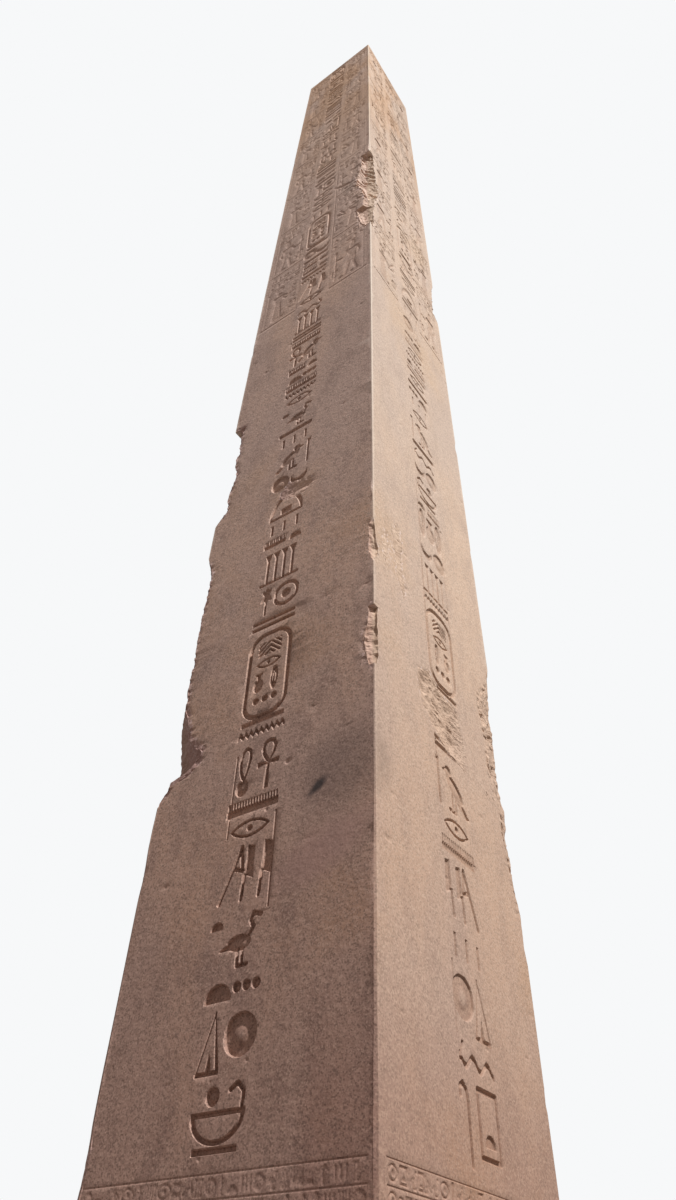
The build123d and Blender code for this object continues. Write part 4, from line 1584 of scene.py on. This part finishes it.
def length_setting(name, description, default, least=0.0):
    """A setting in metres."""
    return bpy.props.FloatProperty(name=name, description=description, default=default, min=least,
                                   unit="LENGTH")


def strength_setting(name, description, default):
    """The strength of a light."""
    return bpy.props.FloatProperty(name=name, description=description, default=default, min=0.0)


def colour_setting(name, description, default):
    """A colour, as an sRGB hex value that is turned to linear."""
    return bpy.props.FloatVectorProperty(name=name, description=description, subtype="COLOR", size=4,
                                         default=linear(default), min=0.0, max=1.0)


class MonolithSettings(bpy.types.PropertyGroup):
    sign_depth: length_setting("Sign depth", "How deep the column of signs is cut", 0.034)
    panel_depth: length_setting("Panel depth", "How deep the panels and their figures are cut", 0.012)
    foot_depth: length_setting("Foot line depth", "How deep the small signs at the foot are cut", 0.0055)
    break_roughness: length_setting("Break roughness", "Height of the ridges on broken stone", 0.042)
    stone_colour: colour_setting("Stone colour", "Main colour of the shaft's granite", GRANITE["colour"])


class BlockSettings(bpy.types.PropertyGroup):
    pedestal_edge: length_setting("Pedestal edge", "Radius of the pedestal's worn edges", 0.035, 0.001)
    course_edge: length_setting("Course edge", "Radius of the ground blocks' worn edges", 0.028, 0.001)
    wave: length_setting("Face wear", "How far the blocks' faces are worn back", 0.008)
    pedestal_colour: colour_setting("Pedestal colour", "Main colour of the pedestal's granite",
                                    PEDESTAL_GRANITE["colour"])
    course_colour: colour_setting("Course colour", "Main colour of the course's sandstone",
                                  SANDSTONE["colour"])


class StudioSettings(bpy.types.PropertyGroup):
    key_strength: strength_setting("Key strength", "Strength of the key light", 4.0)
    fill_strength: strength_setting("Fill strength", "Strength of the wide fill on the far sides", 2.0)
    world_strength: strength_setting("World strength", "Strength of the even light all round", 0.26)
    floor_colour: colour_setting("Floor colour", "Colour of the plain floor", "#E6E4E1")


class NEEDLE_OT_monolith(bpy.types.Operator):
    """Carve and weather the shaft and its pyramidion"""
    bl_idname = "needle.monolith"
    bl_label = "Monolith"

    def execute(self, context):
        settings = context.scene.needle_monolith
        material = rose_granite("rose_granite", GRANITE, settings.stone_colour)
        for drum in DRUMS:
            make_drum(drum, material, settings)
        return {"FINISHED"}


class NEEDLE_OT_pedestal(bpy.types.Operator):
    """Dress the granite pedestal"""
    bl_idname = "needle.pedestal"
    bl_label = "Pedestal"

    def execute(self, context):
        settings = context.scene.needle_blocks
        material = rose_granite("pedestal_granite", PEDESTAL_GRANITE, settings.pedestal_colour)
        make_block("pedestal", PEDESTAL_STEP, settings.pedestal_edge, settings.wave, PEDESTAL_SEED,
                   material, turning_groove)
        return {"FINISHED"}


class NEEDLE_OT_ground_course(bpy.types.Operator):
    """Dress the sandstone blocks of the ground course"""
    bl_idname = "needle.ground_course"
    bl_label = "Ground course"

    def execute(self, context):
        settings = context.scene.needle_blocks
        material = tooled_sandstone("tooled_sandstone", SANDSTONE, settings.course_colour)
        nodes = sorted(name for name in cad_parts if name.startswith("ground_course"))
        if not nodes:
            raise RuntimeError("the frame has no ground course")
        for number, node in enumerate(nodes):
            make_block(node, COURSE_STEP, settings.course_edge, settings.wave,
                       COURSE_SEED + COURSE_SEED_STEP * number, material)
        return {"FINISHED"}


# The camera stands low and close to the front right arris, and looks steeply up.
CAMERA_PLACE = Vector((4.545, -6.319, LINE_Z - 1.132))
CAMERA_YAW = math.radians(36.32)
CAMERA_PITCH = math.radians(42.91)
CAMERA_ROLL = math.radians(2.0)
PHOTO_HEIGHT = 1200
FOCAL_PIXELS = 877.3
SENSOR = 36.0
VIEW_END = 500

# The key stands high on the right and only grazes the front; the fill reaches the far sides.
KEY_TOWARDS = (0.62, -0.13, 0.775)
FILL_TOWARDS = (-0.60, 0.55, 0.58)
KEY_SOFTNESS = 3
FILL_SOFTNESS = 40
LAMP_DISTANCE = 60
FLOOR_REACH = 160.0


def make_camera():
    """The photograph's view: yaw round Z, pitch up, then a slight roll."""
    forward = Vector((-math.sin(CAMERA_YAW) * math.cos(CAMERA_PITCH),
                      math.cos(CAMERA_YAW) * math.cos(CAMERA_PITCH), math.sin(CAMERA_PITCH)))
    level = Vector((math.cos(CAMERA_YAW), math.sin(CAMERA_YAW), 0))
    above = level.cross(forward)
    right = level * math.cos(CAMERA_ROLL) + above * math.sin(CAMERA_ROLL)
    up = above * math.cos(CAMERA_ROLL) - level * math.sin(CAMERA_ROLL)
    data = bpy.data.cameras.new("camera")
    data.sensor_width = SENSOR
    data.lens = FOCAL_PIXELS / PHOTO_HEIGHT * SENSOR
    data.clip_end = VIEW_END
    camera = put("camera", data)
    camera.matrix_world = Matrix((right, up, -forward)).transposed().to_4x4()
    camera.location = CAMERA_PLACE
    bpy.context.scene.camera = camera


def make_world(strength):
    """Even light all round, white to the camera and in gloss."""
    world = bpy.data.worlds.new("studio")
    world.use_nodes = True
    tree = world.node_tree
    tree.nodes.clear()
    path = add(tree, "ShaderNodeLightPath")
    values = {ray: path.outputs[f"Is {ray} Ray"] for ray in ("Camera", "Glossy", "Transmission")}
    follow(tree, values, [("seen", "MAXIMUM", "Camera", "Glossy"),
                          ("seen", "MAXIMUM", "seen", "Transmission")])
    even = add(tree, "ShaderNodeBackground", Color=linear("#FFEFEB"), Strength=strength)
    white = add(tree, "ShaderNodeBackground", Color=linear("#F7F8F9"), Strength=1.0)
    mixed = add(tree, "ShaderNodeMixShader", i0=values["seen"], i1=even.outputs[0], i2=white.outputs[0])
    add(tree, "ShaderNodeOutputWorld", Surface=mixed.outputs[0])
    bpy.context.scene.world = world


def make_sun(name, towards, strength, degrees):
    """A far lamp, soft by its angle."""
    data = bpy.data.lights.new(name, "SUN")
    data.energy = strength
    data.angle = math.radians(degrees)
    lamp = put(name, data)
    way = Vector(towards).normalized()
    lamp.rotation_mode = "QUATERNION"
    lamp.rotation_quaternion = way.to_track_quat("Z", "Y")
    lamp.location = way * LAMP_DISTANCE


def make_floor(shown):
    """A plain floor at ground level, pale to the camera and greyer in the light it throws up."""
    mesh = bpy.data.meshes.new("floor")
    corners = [(side_x * FLOOR_REACH, side_y * FLOOR_REACH, 0)
               for side_x, side_y in ((-1, -1), (1, -1), (1, 1), (-1, 1))]
    mesh.from_pydata(corners, [], [(0, 1, 2, 3)])
    material, tree, values = new_material("plain_floor", {"colour": "#5E5650"})
    values["shown"] = tuple(shown)
    values["seen"] = add(tree, "ShaderNodeLightPath").outputs["Is Camera Ray"]
    follow(tree, values, [("colour", "blend", "shown", "seen", 0.0, 1.0)])
    close_finish(tree, values, Roughness=0.9)
    mesh.materials.append(material)
    put("floor", mesh)


class NEEDLE_OT_studio(bpy.types.Operator):
    """Set the floor, the lights and the camera"""
    bl_idname = "needle.studio"
    bl_label = "Studio"

    def execute(self, context):
        settings = context.scene.needle_studio
        make_camera()
        make_world(settings.world_strength)
        make_sun("key", KEY_TOWARDS, settings.key_strength, KEY_SOFTNESS)
        make_sun("fill", FILL_TOWARDS, settings.fill_strength, FILL_SOFTNESS)
        make_floor(settings.floor_colour)
        context.scene.view_settings.view_transform = "Standard"
        return {"FINISHED"}


class NEEDLE_PT_parts(bpy.types.Panel):
    """The needle's pieces and their sizes"""
    bl_idname = "NEEDLE_PT_parts"
    bl_label = "Granite needle"
    bl_space_type = "VIEW_3D"
    bl_region_type = "UI"
    bl_category = "Needle"

    def draw(self, context):
        layout = self.layout
        for operator in OPERATORS:
            layout.operator(operator.bl_idname)
        for group in GROUPS_OF_SETTINGS:
            settings = getattr(context.scene, group)
            box_layout = layout.box()
            for name in settings.__annotations__:
                box_layout.prop(settings, name)


OPERATORS = (NEEDLE_OT_monolith, NEEDLE_OT_pedestal, NEEDLE_OT_ground_course, NEEDLE_OT_studio)
GROUPS_OF_SETTINGS = {"needle_monolith": MonolithSettings, "needle_blocks": BlockSettings,
                      "needle_studio": StudioSettings}


def register():
    for group in GROUPS_OF_SETTINGS.values():
        bpy.utils.register_class(group)
    for operator in OPERATORS:
        bpy.utils.register_class(operator)
    bpy.utils.register_class(NEEDLE_PT_parts)
    for name, group in GROUPS_OF_SETTINGS.items():
        setattr(bpy.types.Scene, name, bpy.props.PointerProperty(type=group))


def unregister():
    for name in GROUPS_OF_SETTINGS:
        delattr(bpy.types.Scene, name)
    bpy.utils.unregister_class(NEEDLE_PT_parts)
    for operator in reversed(OPERATORS):
        bpy.utils.unregister_class(operator)
    for group in reversed(list(GROUPS_OF_SETTINGS.values())):
        bpy.utils.unregister_class(group)


def main():
    register()
    bpy.ops.needle.monolith()
    bpy.ops.needle.pedestal()
    bpy.ops.needle.ground_course()
    bpy.ops.needle.studio()


if __name__ == "__main__":
    main()
